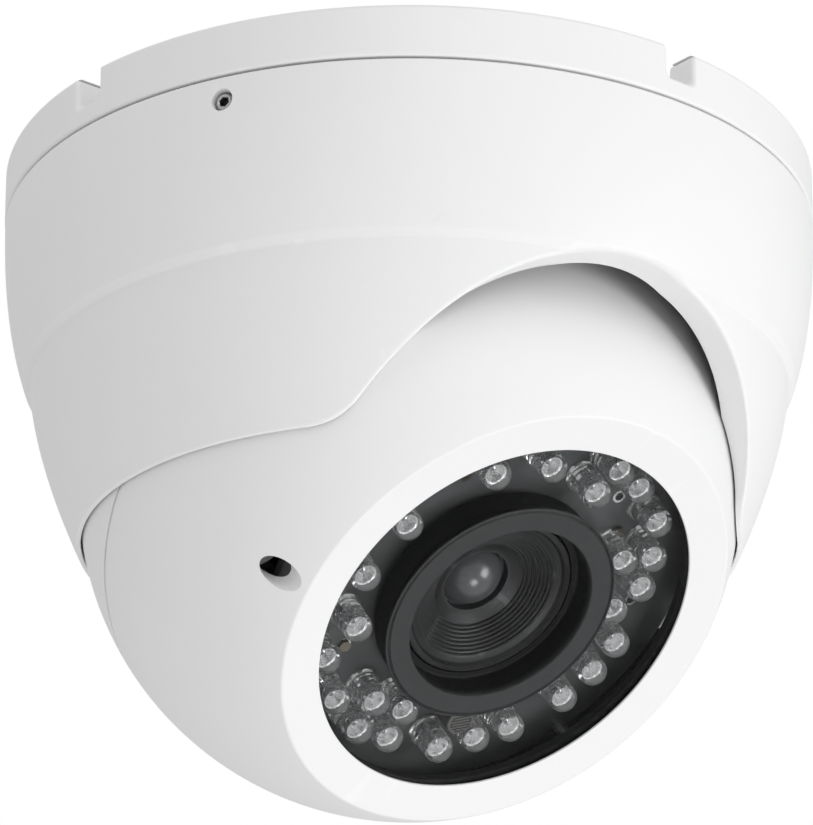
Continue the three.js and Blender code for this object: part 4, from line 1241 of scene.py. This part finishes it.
class DOMECAM_OT_inner_parts(bpy.types.Operator):
    """Finish the seals, boards, posts and lens parts inside the housing"""
    bl_idname = "domecam.inner_parts"
    bl_label = "Inner parts"

    def execute(self, context):
        finishes = {
            "rubber": ["cable_grommet", "cover_seal", "ball_seat", "rear_gland", "shell_seal"],
            "card": ["sensor_board", "main_board"],
            "silicon": ["image_sensor"],
            "black_plastic": ["lens_mount"],
            "black_metal": ["lens_barrel", "focus_ring", "zoom_ring", "rear_cell"],
            "element": ["ir_cut_filter", "rear_element"],
            "steel": ["roll_clamp_ring", "focus_lock", "zoom_lock", *[f"board_screw_{i}" for i in (1, 2, 3)]],
            "brass": [f"{kind}_{i}" for kind in ("board_post", "card_spacer") for i in (1, 2, 3, 4)],
        }
        for name, nodes in finishes.items():
            for node in nodes:
                obj = frame["nodes"][node]
                obj.data.materials.clear()
                obj.data.materials.append(finish(name))
                soft = obj.modifiers.new("Broken edges", "BEVEL")
                soft.width = 0.12 * MM
                soft.segments = 2
                soft.limit_method = "ANGLE"
                soft.angle_limit = math.radians(35)
                smooth_node(obj)
        return {"FINISHED"}


def smooth_node(obj):
    """Smooth shading between the facets of a CAD node, by a modifier that leaves its mesh alone."""
    shading = obj.modifiers.new("Even shading", "WEIGHTED_NORMAL")
    shading.keep_sharp = True


# ---------------------------------------------------------------- stage

def soft_light(name, target, azimuth, elevation, distance, size, power, tone=(1, 1, 1)):
    """A square soft box that faces a target from a direction round it."""
    a, e = math.radians(azimuth), math.radians(elevation)
    back = Vector((math.sin(a) * math.cos(e), -math.cos(a) * math.cos(e), math.sin(e)))
    data = bpy.data.lights.new(name, "AREA")
    data.shape = "SQUARE"
    data.size = size
    data.energy = power
    data.color = tone
    lamp = bpy.data.objects.new(name, data)
    lamp.location = Vector(target) + back * distance
    lamp.rotation_mode = "QUATERNION"
    lamp.rotation_quaternion = back.to_track_quat("Z", "Y")
    bpy.context.scene.collection.objects.link(lamp)
    return lamp


class DOMECAM_OT_stage(bpy.types.Operator):
    """Make the pale floor, the soft studio light and the camera"""
    bl_idname = "domecam.stage"
    bl_label = "Floor, light and camera"

    def execute(self, context):
        scene = context.scene
        scene.view_settings.view_transform = "Standard"
        self.backdrop(scene)
        self.floor()
        target = (0, 0, -0.055)
        soft_light("key_softbox", target, 22, -20, 1.6, 0.7, 8)
        soft_light("front_softbox", target, 0, -62, 1.5, 0.5, 4.5)
        soft_light("top_softbox", target, -30, 40, 1.7, 1.2, 5)
        self.camera(scene)
        return {"FINISHED"}

    def backdrop(self, scene):
        """White surround to the camera, a dimmer one to the object, darker to one side."""
        world = bpy.data.worlds.new("white_surround")
        scene.world = world
        world.use_nodes = True
        tree = world.node_tree
        seen = tree.nodes["Background"]
        seen.inputs["Color"].default_value = (1, 1, 1, 1)
        seen.inputs["Strength"].default_value = 1.0
        lighting = tree.nodes.new("ShaderNodeBackground")
        coords = tree.nodes.new("ShaderNodeTexCoord")
        side = tree.nodes.new("ShaderNodeVectorMath")
        side.operation = "DOT_PRODUCT"
        side.inputs[1].default_value = (0.86, -0.45, 0.1)
        ramp = tree.nodes.new("ShaderNodeMapRange")
        ramp.inputs["From Min"].default_value = -1
        ramp.inputs["From Max"].default_value = 1
        ramp.inputs["To Min"].default_value = 0.84
        ramp.inputs["To Max"].default_value = 0.8
        path = tree.nodes.new("ShaderNodeLightPath")
        mix = tree.nodes.new("ShaderNodeMixShader")
        tree.links.new(coords.outputs["Generated"], side.inputs[0])
        tree.links.new(side.outputs["Value"], ramp.inputs["Value"])
        tree.links.new(ramp.outputs["Result"], lighting.inputs["Strength"])
        tree.links.new(path.outputs["Is Camera Ray"], mix.inputs["Fac"])
        tree.links.new(lighting.outputs["Background"], mix.inputs[1])
        tree.links.new(seen.outputs["Background"], mix.inputs[2])
        tree.links.new(mix.outputs["Shader"], tree.nodes["World Output"].inputs["Surface"])

    def floor(self):
        """A wide pale floor far below the ceiling-hung part."""
        depth, reach, rim = -3.0, 14.0, 0.6
        rows = [(0.001, depth)]
        rows += [(reach * t, depth) for t in np.linspace(0.05, 1, 12)]
        rows += [(reach + rim * math.sin(a), depth + rim * (1 - math.cos(a)))
                 for a in np.radians((20, 45, 70, 90))]
        angles = np.linspace(0, TAU, 96, endpoint=False)
        points = np.array([[(r * math.cos(a), r * math.sin(a), z) for a in angles] for r, z in rows])
        pale = Finish("pale_floor", (0.94, 0.94, 0.94), 0.8)
        pale.vary_colour(pale.noise(0.4), (0.91, 0.91, 0.91))
        pale.vary_roughness(0.2, 0.7, 0.9)
        mesh = bpy.data.meshes.new("pale_floor")
        flat, faces = grid(points)
        mesh.from_pydata([tuple(p) for p in flat], [], faces)
        mesh.materials.append(pale.material)
        floor = bpy.data.objects.new("pale_floor", mesh)
        bpy.context.scene.collection.objects.link(floor)

    def camera(self, scene):
        """Looks up at the part from below, with a long lens."""
        data = bpy.data.cameras.new("camera")
        data.sensor_width = 36
        data.lens = 249.7
        data.clip_start, data.clip_end = 0.05, 60
        azimuth, elevation, distance = math.radians(-44), math.radians(-23.16), 0.952
        back = Vector((math.sin(azimuth) * math.cos(elevation), -math.cos(azimuth) * math.cos(elevation),
                       math.sin(elevation)))
        camera = bpy.data.objects.new("camera", data)
        camera.location = Vector((-0.0002, 0.0004, -0.0413)) + back * distance
        camera.rotation_mode = "QUATERNION"
        camera.rotation_quaternion = back.to_track_quat("Z", "Y")
        scene.collection.objects.link(camera)
        scene.camera = camera


# ---------------------------------------------------------------- panel, registration, run

PIECES = (DOMECAM_OT_base, DOMECAM_OT_cover, DOMECAM_OT_set_screws, DOMECAM_OT_eye_shells,
          DOMECAM_OT_shell_screws, DOMECAM_OT_window, DOMECAM_OT_lamp_board, DOMECAM_OT_light_sensor,
          DOMECAM_OT_hood, DOMECAM_OT_front_cell, DOMECAM_OT_inner_parts, DOMECAM_OT_stage)
GROUPS = {"dome_base": DomeBaseSizes, "dome_cover": DomeCoverSizes, "dome_eye": DomeEyeSizes,
          "dome_colours": DomeColours}


class DOMECAM_PT_panel(bpy.types.Panel):
    """Lists the camera's pieces in the order they are built"""
    bl_idname = "DOMECAM_PT_panel"
    bl_label = "Dome camera"
    bl_space_type = "VIEW_3D"
    bl_region_type = "UI"
    bl_category = "Dome camera"

    def draw(self, context):
        for operator in PIECES:
            self.layout.operator(operator.bl_idname, text=operator.bl_label)
        for name in GROUPS:
            box = self.layout.box()
            group = getattr(context.scene, name)
            for prop in group.__annotations__:
                box.prop(group, prop)


def register():
    for cls in (*GROUPS.values(), *PIECES, DOMECAM_PT_panel):
        bpy.utils.register_class(cls)
    for name, cls in GROUPS.items():
        setattr(bpy.types.Scene, name, PointerProperty(type=cls))


def unregister():
    for name in GROUPS:
        delattr(bpy.types.Scene, name)
    for cls in reversed((*GROUPS.values(), *PIECES, DOMECAM_PT_panel)):
        bpy.utils.unregister_class(cls)


def main():
    register()
    for operator in PIECES:
        step = getattr(bpy.ops.domecam, operator.bl_idname.split(".")[1])
        step()
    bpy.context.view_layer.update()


if __name__ == "__main__":
    main()
